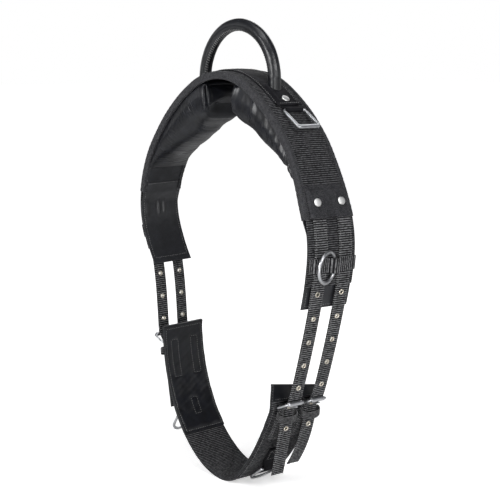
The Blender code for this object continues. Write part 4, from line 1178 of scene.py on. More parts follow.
def pad_form(size, angle, share, lift):
    """A row of a pad's plain form: its place along, across and down in metres, its depth, its
    places across and down as shares, and its degrees from the sewn corner."""
    boxy = 1 - smoothstep(share / 0.32)
    across, down = pad_section(PAD_SQUARENESS + (PAD_SQUARENESS_AT_SEAM - PAD_SQUARENESS) * boxy)
    turn = PAD_EDGE + (PAD_ROUND - PAD_EDGE) * smoothstep((down - 0.62) / 0.3)
    turned = math.radians(angle)
    inset = turn * (1 - math.sin(turned)) + 0.0022 * lift**2
    level = np.clip(PAD_MIDDLE + (down - PAD_MIDDLE) * size, 0, 1)
    seam_bulge = PAD_SEAM_BULGE * np.sin(math.pi * level) * (1 - share) ** 8
    bulge = PAD_END_BULGE * (1 - size**2) + seam_bulge
    along = PAD_START + turn * (1 - math.cos(turned)) - bulge
    remaining = PAD_END - PAD_RIM - along
    corner = angle - 45 + np.degrees((remaining * share - (1 - size) * PAD_HALF_WIDTH) / turn)
    along = along + remaining * share + PAD_RIM * lift
    depth = PAD_FULL_DEPTH + (PAD_EDGE_DEPTH - PAD_FULL_DEPTH) * pad_thinning(along)
    width = PAD_HALF_WIDTH + PAD_BULGE * smoothstep(depth / PAD_DEPTH * 1.5) * smoothstep(down / 0.3)
    middle = PAD_MIDDLE * depth
    drawn_in = 1 - inset / np.maximum(depth * 0.5, inset + 1e-4)
    z = middle + (down - PAD_MIDDLE) * depth * drawn_in
    y = across * (width - inset)
    return along, y * size, middle + (z - middle) * size, depth, across, down, corner


def pad_row(name, size, angle, share, lift):
    """A row of a pad with its relief, as places along, across and down, and its UV."""
    along, y, z, depth, across, down, corner = pad_form(size, angle, share, lift)
    on_side = smoothstep(size * 4 - 3)
    relief = pad_relief(name, along, across, down, depth) * smoothstep(depth / 0.02) * on_side
    relief = relief + sewn_corner(corner, across, down) * on_side
    relief = relief * smoothstep((down - 0.03) / 0.06)
    tangent_y, tangent_z = np.roll(y, -1) - np.roll(y, 1), np.roll(z, -1) - np.roll(z, 1)
    length = np.hypot(tangent_y, tangent_z) + 1e-9
    facing = np.radians(np.clip(corner + 45, 0, 90))
    along = along - relief * np.cos(facing)
    y = y - relief * np.sin(facing) * tangent_z / length
    z = np.maximum(z + relief * np.sin(facing) * tangent_y / length, 0.0)
    return along, y, z, np.stack([along, across * 0.05 + down * 0.05], -1)


def make_pad(band, name, looks):
    """A stuffed leather pad: a rounded form whose corners at the gullet are sewn up the edge."""
    run = band.half(name)
    points, uv = [], []
    for form in pad_rows():
        along, y, z, row_uv = pad_row(name, *form)
        fade = 1 - smoothstep((along - PAD_START) / (PAD_SLANT_END - PAD_START))
        points.append(run.place(along + z * PAD_START_SLANT * fade, y, PAD_TOP - z))
        uv.append(row_uv)
    data = grid_data(np.array(points), np.array(uv))
    piece = dress("withers_pad_" + name, "stuffed", data, looks["leather"])
    make_pad_seams(run, name, looks)


def pad_thinning(along):
    beyond = np.maximum(0.0, (along - PAD_FULL_END) / (PAD_END - PAD_FULL_END))
    return beyond * beyond * (2 - beyond)


def make_pad_seams(run, name, looks):
    """The whip stitches that close a pad's two corners at the gullet."""
    threads = []
    for side in (-1, 1):
        for i in range(PAD_STITCHES):
            z = PAD_FIRST_STITCH + i * PAD_STITCH_PITCH
            edge = (PAD_HALF_WIDTH + PAD_BULGE) * pad_reach(z / PAD_FULL_DEPTH, PAD_SQUARENESS_AT_SEAM)
            ends = []
            for angle, lower in ((26, -0.0008), (64, 0.0010)):
                turned = math.radians(angle)
                ahead = PAD_START + PAD_EDGE * (1 - math.cos(turned)) - WHIP_SUNK * math.cos(turned)
                inset = PAD_EDGE * (1 - math.sin(turned)) - WHIP_SUNK * math.sin(turned)
                down = z + lower
                along, across = ahead + down * PAD_START_SLANT, side * (edge - inset)
                ends.append(run.place(along, across, PAD_TOP - down))
            out = np.array([-0.7 * run.side, side * 0.7, 0.0])
            threads.append(bead(ends[0], ends[1], out / np.linalg.norm(out), WHIP_THREAD))
    add_threads(f"withers_pad_stitches_{name}", threads, looks["dark_thread"])


# The handle

def handle_line():
    radius = HANDLE_SPAN / 2
    angles = np.radians(np.linspace(180, 0, 73))
    return np.stack([radius * np.cos(angles), HANDLE_RISE + BAND_DEPTH + radius * np.sin(angles)], -1)


def handle_patch_top(along, across):
    """The top of the patch that the handle stands on, over its feet's tabs and the ring's chape."""
    over_tab = GAP + TAB_THICKNESS + GAP
    over_chape = 3 * GAP + 2 * REIN_CHAPE_PLY + BAND_CROWN * (REIN_CHAPE_WIDTH / BAND_WIDTH) ** 2
    along, across = np.abs(along), np.abs(across)
    past_tab = smoothstep((along - TAB_END - DRAPE_CLEAR) / DRAPE)
    on_tab = smoothstep((along - TAB_START + 0.005) / 0.004) * (1 - past_tab)
    on_tab = on_tab * (1 - smoothstep((across - TAB_WIDTH / 2 - DRAPE_CLEAR) / DRAPE))
    on_chape = smoothstep((along - REIN_RING_AT + REIN_CHAPE_TAIL + 0.002) / 0.0012)
    lower = GAP + (over_tab - GAP) * on_tab
    return np.maximum(lower, GAP + (over_chape - GAP) * on_chape) + HANDLE_PATCH_THICKNESS


def make_handle(band, looks):
    """The patch over the handle's tabs, the rolled cover on it and its two rivets."""
    half = HANDLE_PATCH_WIDTH / 2

    def bottom(along, across):
        return handle_patch_top(along, across) - HANDLE_PATCH_THICKNESS

    def top(along, across):
        return handle_patch_top(along, across) + uneven(HANDLE_PATCH_SWELL, along, across)

    data = cut_strap(
        band, -HANDLE_PATCH_END, HANDLE_PATCH_END, 0.0016,
        flat_section(-half, half, HANDLE_PATCH_THICKNESS, 40), bottom, top, end_round=0.001,
    )
    dress("handle_patch", "sewn", data, looks["patch"])
    edge, end = half - BOX_INSET, HANDLE_PATCH_END - STITCHES_OFF_END
    threads = []
    for side in (-1, 1):
        threads += seam(band, edge_path(-end, end, side * edge, 0.004), top)
        threads += seam(band, [(side * end, -edge), (side * end, edge)], top)
    add_threads("handle_patch_stitches", threads, looks["thread"])
    make_handle_cover(band, looks)
    height = 2 * GAP + TAB_THICKNESS + HANDLE_PATCH_THICKNESS + GAP
    for name, side in SIDES.items():
        make_rivet(f"handle_rivet_{name}", band.frame(side * HANDLE_RIVET_AT, 0, height), looks)


def cover_radii(share, angles):
    """The rolled cover's radii: a ridge and grooves by its seam, slow wrinkles, and feet that
    flare beside the seam and draw in just above the patch."""
    off = np.angle(np.exp(1j * (angles - math.radians(HANDLE_SEAM))))
    ridge = COVER_RIDGE * bell(off, 0.16)
    groove = -COVER_GROOVE * bell(np.abs(off) - 0.42, 0.14)
    length = share[:, None] * HANDLE_SPAN * math.pi / 2
    round_way = angles[None, :] * HANDLE_RADIUS
    wrinkles = uneven(COVER_SWELL, length, round_way) + uneven(COVER_WRINKLES, length, round_way)
    foot = np.minimum(share, 1 - share)[:, None] * HANDLE_SPAN * math.pi / 2
    flared = np.exp(-foot / 0.016) * bell(np.abs(off) - HANDLE_WHIP, 0.14)[None, :]
    cuff = COVER_FLARE * flared - COVER_NECK * bell(foot - 0.001, 0.003)
    return HANDLE_RADIUS - COVER_SUNK + ridge[None, :] + groove[None, :] + wrinkles + cuff


def foot_rows(band, ring, side, rows=8):
    """Rows that carry an end ring straight down onto the patch."""
    table = steps(0.05, 0.14, 0.0005)
    places = [band.place(side * table, y, handle_patch_top(table, y) + GAP) for y in ring[:, 1]]
    floor = [np.interp(x * side, p[:, 0] * side, p[:, 2]) for x, p in zip(ring[:, 0], places)]
    made = []
    for step in range(1, rows + 1):
        row = ring.copy()
        row[:, 2] += (np.array(floor) - ring[:, 2]) * step / rows
        made.append(row)
    return made


def make_handle_cover(band, looks):
    """Leather rolled round the grip and sewn along its inside, ending in a cuff on each foot."""
    arch = handle_line()
    sides = 48
    angles = np.linspace(0, 2 * math.pi, sides, endpoint=False)
    share = np.linspace(0, 1, 260)
    at = share * (len(arch) - 1)
    line = np.stack([np.interp(at, np.arange(len(arch)), arch[:, k]) for k in (0, 1)], -1)
    points = tube_points(line, cover_radii(share, angles), sides)
    first, last = foot_rows(band, points[0], -1), foot_rows(band, points[-1], 1)
    points = np.concatenate([np.array(first[::-1]), points, np.array(last)])
    along = np.linspace(0, HANDLE_LENGTH, len(points))
    data = grid_data(points, uv_of(along[:, None], angles[None, :] * HANDLE_RADIUS))
    dress("handle_cover", "rolled", data, looks["rolled"])
    make_handle_stitches(line, looks)


def make_handle_stitches(line, looks):
    """Slanted whip stitches over the cover's seam, from foot to foot."""
    seam_at = math.radians(HANDLE_SEAM)
    total = int(HANDLE_LENGTH / 0.0050)
    threads = []
    for i in range(3, total - 3):
        middle, way = arch_point(line, i / total)
        aside = np.array([-way[1], 0, way[0]])
        ends = []
        for turn in (-HANDLE_WHIP, HANDLE_WHIP):
            angle = seam_at + turn
            outward = aside * math.cos(angle) + np.array([0, 1, 0]) * math.sin(angle)
            shift = np.array([way[0], 0, way[1]]) * 0.0011 * (1 if turn > 0 else -1)
            off = outward * (HANDLE_RADIUS + 0.0003)
            ends.append(np.array([middle[0], 0, middle[1]]) + off + shift)
        outward = aside * math.cos(seam_at) + np.array([0, 1, 0]) * math.sin(seam_at)
        threads.append(bead(ends[0], ends[1], outward, WHIP_THREAD))
    add_threads("handle_stitches", threads, looks["thread"])


def arch_point(line, share):
    index = share * (len(line) - 1)
    whole = int(min(index, len(line) - 2))
    way = line[whole + 1] - line[whole]
    return line[whole] + way * (index - whole), way / np.linalg.norm(way)


def make_rivet(name, matrix, looks):
    """A domed head with a flat-rolled rim."""
    radius, height = RIVET_HEAD_RADIUS, RIVET_HEAD_HEIGHT
    dome = [(reach, 0.66 + 0.34 * (1 - reach**2)) for reach in np.linspace(0.82, 0.02, 10)]
    rows = [
        [(x, y, lift * height) for x, y in circle(reach * radius, 40)]
        for reach, lift in list(RIVET_RIM) + dome
    ]
    points = np.array(rows)
    data = transformed(grid_data(points, points[..., :2]), matrix)
    dress(name, "domed", data, looks["rivet"])


# Rings

def make_rein_ring(band, name, looks):
    """A square ring of flattened wire that narrows to a round bar, and its folded chape."""
    run = band.half(name)
    bar = REIN_RING_BAR / 2
    bar_out = bar_height(bar, REIN_CHAPE_PLY)
    profile = folded_profile(REIN_RING_AT, bar_out, bar, REIN_CHAPE_PLY, REIN_CHAPE_TAIL)
    half = REIN_CHAPE_WIDTH / 2
    data = plies_data(run, profile, -half, half, 0.0007, straight=True)
    dress("rein_ring_chape_" + name, "folded", data, looks["patch"])
    length = REIN_RING_LENGTH - bar - REIN_RING_LIP / 2
    outline = rounded_rectangle(length, REIN_RING_WIDTH - REIN_RING_BAR, REIN_RING_ROUND)

    def section(index):
        (x, _), (way_x, _) = outline[index]
        flat = smoothstep((x - REIN_RING_CORNER) / 0.008)
        wide = bar * (1 + 0.22 * flat) + (REIN_RING_LIP / 2 - bar * 1.22) * smoothstep(way_x)
        return rounded_box(wide, bar * (1 - 0.1 * flat), bar * (0.98 - 0.48 * flat))

    lift = Matrix.Rotation(math.radians(-REIN_RING_LIFT), 4, "Y")
    matrix = run.frame(REIN_RING_AT, 0, bar_out) @ lift
    polish("rein_ring_" + name, ring_data(outline, section, matrix), looks)


def make_round_ring(run, name, side, looks):
    """A round ring of wire that hangs in the cross strap's tunnel."""
    axis_out = GAP + ROUND_RING_WIRE + ROUND_RING_SAG / 2 + ROUND_RING_PLAY
    middle = ROUND_RING_RADIUS - ROUND_RING_SAG / 2
    hangs = side * ROUND_RING_HANGS[name]
    outline = [
        ((x * ROUND_RING_RADIUS, y * ROUND_RING_RADIUS + hangs * middle), (x, y))
        for x, y in circle(1.0, 96)
    ]
    swing = Matrix.Rotation(math.radians(hangs * ROUND_RING_SWING), 4, "X")
    matrix = run.frame(CROSS_STRAP_AT, BILLET_SHIFT[name], axis_out) @ swing
    wire = circle(ROUND_RING_WIRE, 20)
    polish("round_ring_" + name, ring_data(outline, lambda index: wire, matrix), looks)


def make_chest_ring(girth, name, looks):
    """A D-shaped ring with a flattened bow and a round bar, and its sewn chape."""
    bar = CHEST_RING_BAR / 2
    at, ply = CHEST_RING_AT[name], CHEST_CHAPE_PLY
    bar_out = bar_height(bar, ply) + CHEST_RING_STANDS[name]
    half = CHEST_CHAPE_WIDTH / 2
    profile = folded_profile(at, bar_out, bar, ply, CHEST_CHAPE_TAIL)
    data = plies_data(girth, profile, -half, half, 0.0008)
    dress("chest_ring_chape_" + name, "folded", data, looks["patch"])
    edge = half - BOX_INSET
    box = stitched_box(at - CHEST_CHAPE_TAIL + 0.004, at - 0.019, -edge, edge)
    threads = seam(girth, box, 2 * GAP + 2 * ply + THREAD_LIFT)
    add_threads(f"chest_ring_stitches_{name}", threads, looks["thread"])
    radius = (CHEST_RING_WIDTH - CHEST_RING_BAR) / 2
    corner = CHEST_RING_CORNER
    outline = outline_arc(CHEST_RING_LENGTH - CHEST_RING_BAR - radius, 0, radius, -90, 180, 48)
    outline += outline_arc(corner, radius - corner, corner, 90, 90, 8)
    outline += outline_arc(corner, corner - radius, corner, 180, 90, 8)

    def section(index):
        flat = smoothstep(outline[index][0][0] / (2 * corner) - 0.5)
        high = bar + (CHEST_RING_THICKNESS / 2 - bar) * flat
        return rounded_box(bar, high, high * (0.99 - 0.5 * flat))

    lift = Matrix.Rotation(math.radians(-CHEST_RING_LIFT[name]), 4, "Y")
    matrix = girth.frame(at, 0, bar_out) @ lift
    polish("chest_ring_" + name, ring_data(outline, section, matrix), looks)


# Straps

def billet_middle(name, row):
    return row * BILLET_SPACING / 2 + BILLET_SHIFT[name]


def billet_out(along):
    lowered = smoothstep((along - BINDING_END) / FLAP_THINNING)
    return GAP + (BINDING_THICKNESS + GAP) * (1 - lowered) + BILLET_THICKNESS / 2


def make_patch(band, name, side, looks):
    """The leather patch over the upper ends of the billets, with its rivets."""
    edge = BAND_WIDTH / 2 - BINDING_LEG - GAP
    run = band.half(name)
    over_billet = billet_out(PATCH_START) + BILLET_THICKNESS / 2 + GAP

    def lower(along, across):
        nearest = np.minimum(*[np.abs(across - billet_middle(name, row)) for row in (-1, 1)])
        beside = 1 - smoothstep((nearest - BILLET_WIDTH / 2 - 0.0008) / 0.0035)
        above = smoothstep((along - BILLET_START + 0.004) / DRAPE)
        return GAP + (over_billet - GAP) * beside * above

    def upper(along, across):
        slanted = across - 0.6 * along, along + 0.6 * across
        folds = waves(slanted[0] / PATCH_FOLD, slanted[1] / PATCH_FOLD_LENGTH, 51 + side, 4)
        gathered = smoothstep(0.5 + waves(along / 0.04, across / 0.03, 56))
        creased = PATCH_CREASE * folds * (0.3 + 0.7 * gathered)
        return lower(along, across) + PATCH_THICKNESS + creased + uneven(PATCH_SWELL, along, across)

    section = flat_section(-edge, edge, PATCH_THICKNESS, 56)
    data = cut_strap(run, PATCH_START, PATCH_END, 0.0015, section, lower, upper, end_round=0.0008)
    dress("patch_" + name, "sewn", data, looks["cover"])
    make_patch_stitches(run, name, edge, upper, looks)
    top = over_billet + PATCH_THICKNESS + GAP
    for row_name, row in ROWS.items():
        spot = band.frame(side * PATCH_RIVET_AT, billet_middle(name, row), top)
        make_rivet(f"patch_rivet_{name}_{row_name}", spot, looks)


def make_patch_stitches(run, name, edge, top, looks):
    """Stitches across both ends of a patch, and along the edges of the billets under it."""
    inset = PATCH_STITCH_INSET
    low, high, rim = PATCH_START + inset, PATCH_END - inset, edge - inset
    threads = []
    for along in (low, high):
        threads += seam(run, [(along, -rim), (along, rim)], top)
    reach = BILLET_WIDTH / 2 - inset
    for row in ROWS.values():
        middle = billet_middle(name, row)
        for across in (middle - reach, middle + reach):
            threads += seam(run, [(BILLET_START + inset, across), (high, across)], top)
    add_threads(f"patch_stitches_{name}", threads, looks["dark_thread"])


def cross_strap_height(name):
    """The height of a cross strap's underside across the band: over both billets and, between
    them, over the ring's tunnel."""
    tunnel = ROUND_RING_WIRE + ROUND_RING_SAG / 2 + ROUND_RING_PLAY
    axis_out = GAP + tunnel
    beside, above = tunnel * 0.75, axis_out + tunnel * 0.85
    over_billet = 2 * GAP + BILLET_THICKNESS
    shift = BILLET_SHIFT[name]
    rear, front = billet_middle(name, 1), billet_middle(name, -1)
    wide = BILLET_WIDTH / 2
    foot, shoulder = 0.0018, 0.0006
    line = [
        (-CROSS_STRAP_HALF_LENGTH, GAP), (front - wide - foot, GAP),
        (front - wide - shoulder, over_billet), (front + wide + shoulder, over_billet),
        (shift - tunnel - 0.002, axis_out), (shift - beside, above), (shift, axis_out + tunnel),
        (shift + beside, above), (shift + tunnel + 0.002, axis_out),
        (rear - wide - shoulder, over_billet), (rear + wide + shoulder, over_billet),
        (rear + wide + foot, GAP), (CROSS_STRAP_HALF_LENGTH, GAP),
    ]
    fine = steps(-CROSS_STRAP_HALF_LENGTH, CROSS_STRAP_HALF_LENGTH, 0.0004)
    heights = np.interp(fine, *zip(*line))
    kernel = np.array([1, 2, 3, 2, 1]) / 9
    smooth = np.convolve(np.pad(heights, 2, mode="edge"), kernel, mode="valid")
    return lambda across: np.interp(across, fine, smooth)


def make_cross_strap(band, name, side, looks):
    """The short ribbed strap across both billets, with its stitches and the ring in its tunnel."""
    half, thickness = CROSS_STRAP_HEIGHT / 2, CROSS_STRAP_THICKNESS
    height = cross_strap_height(name)
    run = band.half(name)
    alongs, share = flat_section(CROSS_STRAP_AT - half, CROSS_STRAP_AT + half, thickness, 9)
    end_round = 0.001
    rows = end_steps(-CROSS_STRAP_HALF_LENGTH, CROSS_STRAP_HALF_LENGTH, STRAP_RIB / 7, end_round)
    across = rows[:, None]
    full = rounded(np.minimum(across - rows[0], rows[-1] - across) / end_round)
    rib = RIB_HEIGHT * (0.5 * np.sin(2 * math.pi * across / STRAP_RIB) - 0.5)
    out = height(across) + thickness / 2 + (share[None, :] - 0.5) * (thickness * full + 2 * rib)
    points = run.place(alongs[None, :] + 0 * across, across + 0 * alongs[None, :], out)
    data = grid_data(points, uv_of(across, alongs[None, :]))
    dress("cross_strap_" + name, "ribbed", data, looks["strap"])

    def top(_along, across):
        return height(across) + thickness

    low, high = CROSS_STRAP_AT - half + 0.003, CROSS_STRAP_AT + half - 0.003
    reach = BILLET_WIDTH / 2
    threads = []
    for middle in (billet_middle(name, -1), billet_middle(name, 1)):
        front, rear = middle - reach + 0.002, middle + reach - 0.002
        threads += seam(run, stitched_box(low, high, front, rear), top, radius=0.00045)
        threads += seam(run, [(low, rear), (high, front)], top, radius=0.00045)
    add_threads(f"cross_strap_stitches_{name}", threads, looks["dark_thread"])
    make_round_ring(run, name, side, looks)


class Buckle:
    """The places in a buckle, seen from its side: x down the girth from its bar, z out of it."""

    def __init__(self):
        lean = math.radians(BUCKLE_LEAN)
        self.bar_out = bar_height(BUCKLE_WIRE, max(BUCKLE_CHAPE_PLY, 2 * TONGUE_WIRE))
        self.roller = (-BUCKLE_LENGTH * math.cos(lean), self.bar_out + BUCKLE_LENGTH * math.sin(lean))
        self.wrap = BUCKLE_WIRE + GAP + TONGUE_WIRE
        fold = BUCKLE_WIRE + GAP + BUCKLE_CHAPE_PLY
        half = BILLET_THICKNESS / 2
        self.billet_out = self.bar_out + max(self.wrap + TONGUE_WIRE, fold) + PLAY + half
        rise = self.roller[1] - self.billet_out
        reach = ROLLER_RADIUS + PLAY + half
        distance = math.hypot(rise, self.roller[0])
        self.slope = math.atan2(rise, -self.roller[0]) - math.asin(reach / distance)
        self.shank = -self.wrap
        billet_here = self.billet_out + self.wrap * math.tan(self.slope)
        self.bend_out = billet_here + (half + TONGUE_WIRE) / math.cos(self.slope) + 0.0015
        rise = self.roller[1] - self.bend_out
        across = self.shank - self.roller[0]
        reach = ROLLER_RADIUS + GAP + TONGUE_WIRE
        distance = math.hypot(rise, across)
        self.tongue_slope = math.atan2(rise, across) + math.asin(reach / distance)
        self.tongue_length = math.sqrt(distance**2 - reach**2) + TONGUE_PAST_ROLLER

    def billet(self, down):
        return down, self.billet_out - down * math.tan(self.slope)

    def tongue_line(self):
        """The tongue's middle: wrapped round the bar, then up through the billet to the roller."""
        points = []
        turns = 24
        for i in range(turns + 1):
            angle = math.radians(180 - TONGUE_WRAP * (i / turns - 1))
            points.append((self.wrap * math.cos(angle), self.wrap * math.sin(angle)))
        rise = self.bend_out - self.bar_out
        bend = TONGUE_BEND
        points += [(self.shank, rise * 0.3), (self.shank, rise * 0.6), (self.shank, rise - bend)]
        way = (-math.cos(self.tongue_slope), math.sin(self.tongue_slope))
        knee = np.array([self.shank, rise])
        before, after = np.array([self.shank, rise - bend]), knee + np.array(way) * bend
        for t in (0.25, 0.5, 0.75):
            points.append(tuple((1 - t) ** 2 * before + 2 * t * (1 - t) * knee + t * t * after))
        for reach in np.linspace(bend, self.tongue_length, 14):
            points.append((self.shank + way[0] * reach, rise + way[1] * reach))
        return points


def billet_line(band, girth, buckle):
    """A billet's line as far as it is held: down the band's face, hanging free, then through the
    buckle. Also how far down it its hole lies, and its heading in degrees where it leaves."""
    face = steps(BILLET_START, BILLET_LEAVES, CURVE_STEP)
    points = [band.plane(along, billet_out(along)) for along in face]
    origin = girth.plane(BUCKLE_AT)
    down = girth.way(BUCKLE_AT)
    outward = np.array([-down[1], down[0]])

    def at_buckle(below, out):
        return origin + down * below + outward * out

    entry = at_buckle(*buckle.billet(-BUCKLE_ENTRY))
    mouth = at_buckle(*buckle.billet(0))
    leave = at_buckle(BUCKLE_EXIT, buckle.billet_out - BUCKLE_EXIT * BUCKLE_EXIT_SLOPE)
    way = (mouth - entry) / np.linalg.norm(mouth - entry)
    points += bezier_points(
        points[-1], band.way(BILLET_LEAVES), entry, way, BILLET_SAG, BILLET_SAG_END
    )[1:]
    points += [entry + (mouth - entry) * share for share in np.linspace(0, 1, 11)[1:]]
    hole = Run(points).length + buckle.shank / math.cos(buckle.slope)
    leaving = down - outward * BUCKLE_EXIT_SLOPE
    leaving /= np.linalg.norm(leaving)
    points += bezier_points(mouth, way, leave, leaving, BUCKLE_EXIT / 5, BUCKLE_EXIT / 3)[1:]
    return points, hole, math.degrees(math.atan2(leaving[1], leaving[0]))


def cutter_data(matrices, radius, depth, sides=20):
    """Round cutters along the Z axis of each matrix, as one mesh."""
    parts = []
    for matrix in matrices:
        ends = []
        for z in (-depth, depth):
            ends += [matrix @ Vector((x, y, z)) for x, y in circle(radius, sides)]
        faces = [list(range(sides))[::-1], list(range(sides, 2 * sides))]
        for i in range(sides):
            j = (i + 1) % sides
            faces.append([i, j, sides + j, sides + i])
        parts.append((ends, faces))
    return join_data(parts)


def cut(piece, data):
    """Takes the cutter's shape out of a piece, for good."""
    tool = bpy.data.objects.new("cutter", data)
    bpy.context.collection.objects.link(tool)
    change = piece.modifiers.new("cut", "BOOLEAN")
    change.operation = "DIFFERENCE"
    change.solver = "EXACT"
    change.object = tool
    apply_modifiers(piece)
    bpy.data.objects.remove(tool)


def apply_modifiers(piece):
    graph = bpy.context.evaluated_depsgraph_get()
    made = bpy.data.meshes.new_from_object(piece.evaluated_get(graph), depsgraph=graph)
    piece.modifiers.clear()
    old = piece.data
    piece.data = made
    bpy.data.meshes.remove(old)


def make_billets(band, girth, name, side, buckle, looks):
    """One side's two billets, each with its eyelets, stitches, keeper and buckle."""
    points, hole, heading = billet_line(band, girth, buckle)
    tail = hole + BILLET_TAIL[name] - Run(points).length
    half, reach = BILLET_THICKNESS / 2, BILLET_WIDTH / 2
    for row_name, row in ROWS.items():
        middle = billet_middle(name, row)
        label = f"{name}_{row_name}"
        hanging = arc_points(points[-1], heading, ((tail, BILLET_TAIL_TURN[label]),))
        run = Run(points + hanging[1:], side)
        section = flat_section(middle - reach, middle + reach, BILLET_THICKNESS, 9, 7)
        ribs = (STRAP_RIB, RIB_HEIGHT)
        data = cut_strap(run, 0, run.length, STRAP_RIB / 6, section, -half, half, ribs)
        piece = dress("billet_" + label, "ribbed", data, looks["strap"])
        spots = eyelet_spots(run, girth, name, middle, hole, buckle)
        cut(piece, cutter_data(spots, EYELET_HOLE_RADIUS + HOLE_CLEAR, 0.01))
        make_eyelets(label, spots, looks)
        make_billet_stitches(run, label, middle, hole - buckle.shank + buckle.roller[0], looks)
        make_keeper(run, label, middle, hole + KEEPER_BELOW_BAR - buckle.shank, looks)
        make_buckle(girth, label, middle, buckle, looks)


def eyelet_spots(run, girth, name, middle, hole, buckle):
    """A billet's eyelets. The buckled one lies on its tongue's line and has given way to it."""
    spots = [
        run.frame(hole + (i + 1 - BUCKLED_HOLE[name]) * EYELET_PITCH, middle)
        for i in range(EYELET_COUNT)
    ]
    bar = girth.frame(BUCKLE_AT, middle, buckle.bar_out)
    shank = bar @ Vector((buckle.shank, 0, buckle.billet_out - buckle.bar_out))
    spots[BUCKLED_HOLE[name] - 1] = run.frame(hole, shank.y) @ Matrix.Diagonal(WORN_EYELET)
    return spots


def make_billet_stitches(run, label, middle, roller, looks):
    """A line of small stitches near each edge, left out under the roller, and one at the tip."""
    half = BILLET_THICKNESS / 2
    rim = BILLET_WIDTH / 2 - BILLET_STITCH_INSET
    lowest = run.length - 0.003
    threads = []
    for across in (middle - rim, middle + rim):
        for low, high in ((STITCHES_START, roller - ROLLER_CLEAR), (roller + ROLLER_CLEAR, lowest)):
            path = edge_path(low, high, across)
            threads += seam(run, path, half - THREAD_LIFT, EDGE_PITCH, STITCH, 0.00028)
    threads += seam(run, [(lowest, middle - rim), (lowest, middle + rim)], half, radius=0.00030)
    add_threads(f"billet_stitches_{label}", threads, looks["thread"])


def make_eyelets(label, spots, looks):
    """Two-sided metal grommets set in the billet's holes."""
    hole, rim = EYELET_HOLE_RADIUS, EYELET_RIM_RADIUS
    half = BILLET_THICKNESS / 2
    profile = [(hole, 0.0), (hole, half + 0.0002)]
    for x, z in arc_2d(0, 0, 1, 150, 0, 6):
        profile.append(((hole + rim) / 2 + (rim - hole) / 2 * x, half + 0.0002 + 0.0009 * z))
    profile.append((rim - 0.0002, half - 0.0004))
    profile.append((hole + 0.0007, half - 0.0006))
    full = profile + [(r, -z) for r, z in profile[::-1]][:-1]
    sides, count = 28, len(full)
    faces = []
    for i in range(sides):
        j = (i + 1) % sides
        for k in range(count):
            n = (k + 1) % count
            faces.append([i * count + k, i * count + n, j * count + n, j * count + k])
    parts = []
    for matrix in spots:
        verts = [matrix @ Vector((x * r, y * r, z)) for x, y in circle(1.0, sides) for r, z in full]
        parts.append((verts, faces))
    data = join_data(parts)
    change_mesh(data, lambda mesh: None)
    make_object(f"eyelets_{label}", data, looks["eyelet"])


def keeper_line(side, front, back):
    """The middle of a keeper's loop, as (across, out): flat behind and bowed out in front."""
    line = [(side * share, back) for share in np.linspace(-0.8, 0.8, 14)]
    for angle in np.radians(np.linspace(-30, 210, 56)):
        line.append((side * min(max(1.12 * math.cos(angle), -1), 1), front * math.sin(angle)))
    line = np.array(line)
    for _ in range(3):
        line = sum(w * np.roll(line, s, axis=0) for w, s in ((0.25, -1), (0.5, 0), (0.25, 1)))
    return line


def make_keeper(run, label, middle, along, looks):
    """A webbing loop round the billet, its front bowed out and drooping."""
    flat = BILLET_THICKNESS / 2 + GAP + KEEPER_THICKNESS / 2
    front = flat + KEEPER_BOW
    line = keeper_line((KEEPER_INNER_WIDTH + KEEPER_THICKNESS) / 2, front, -flat)
    ways = unit(np.roll(line, -1, axis=0) - np.roll(line, 1, axis=0))
    downs, share = flat_section(-KEEPER_WIDTH / 2, KEEPER_WIDTH / 2, KEEPER_THICKNESS, 15, 9)
    rib = 0.00022 * (0.5 + 0.5 * np.sin(2 * math.pi * downs / KEEPER_RIB))
    reach = (share - 0.5) * (KEEPER_THICKNESS - 2 * rib)
    rows = []
    for (y, z), (way_y, way_z) in zip(line, ways):
        droop = 1.4 * KEEPER_DROOP * max(z, 0) / front
        rows.append(np.stack([downs + droop, y + way_z * reach, z - way_y * reach], -1))
    data = grid_data(np.array(rows), uv_of(downs[None, :], lengths_along(line)[:, None]), loop=True)
    transformed(data, run.frame(along, middle))
    node = "keeper_" + label
    make_object(node + "_woven", data, looks["keeper"], body=node, node=node)


def make_buckle(girth, label, middle, buckle, looks):
    """A buckle in its chape: the frame, the roller on it, and the tongue through the billet."""
    bar = girth.frame(BUCKLE_AT, middle, buckle.bar_out)
    make_buckle_chape(girth, label, middle, buckle, bar, looks)
    lean = Matrix.Rotation(math.radians(180 + BUCKLE_LEAN), 4, "Y")
    width = BUCKLE_INNER_WIDTH + 2 * BUCKLE_WIRE
    outline = rounded_rectangle(BUCKLE_LENGTH, width, BUCKLE_CORNER)
    wire = circle(BUCKLE_WIRE, 16)
    polish("buckle_frame_" + label, ring_data(outline, lambda index: wire, bar @ lean), looks)

    along, out = buckle.roller
    matrix = girth.frame(BUCKLE_AT, middle, 0) @ Matrix.Translation((along, 0, out))
    data = transformed(roller_data(width - 2 * BUCKLE_CORNER - 2 * PLAY), matrix)
    polish("buckle_roller_" + label, data, looks)

    line = buckle.tongue_line()
    from_tip = (len(line) - 1 - np.arange(len(line))) / 4.0
    points = tube_points(line, TONGUE_WIRE * rounded(from_tip, 0.12)[:, None], 16)
    polish("buckle_tongue_" + label, transformed(grid_data(points, points[..., :2]), bar), looks)


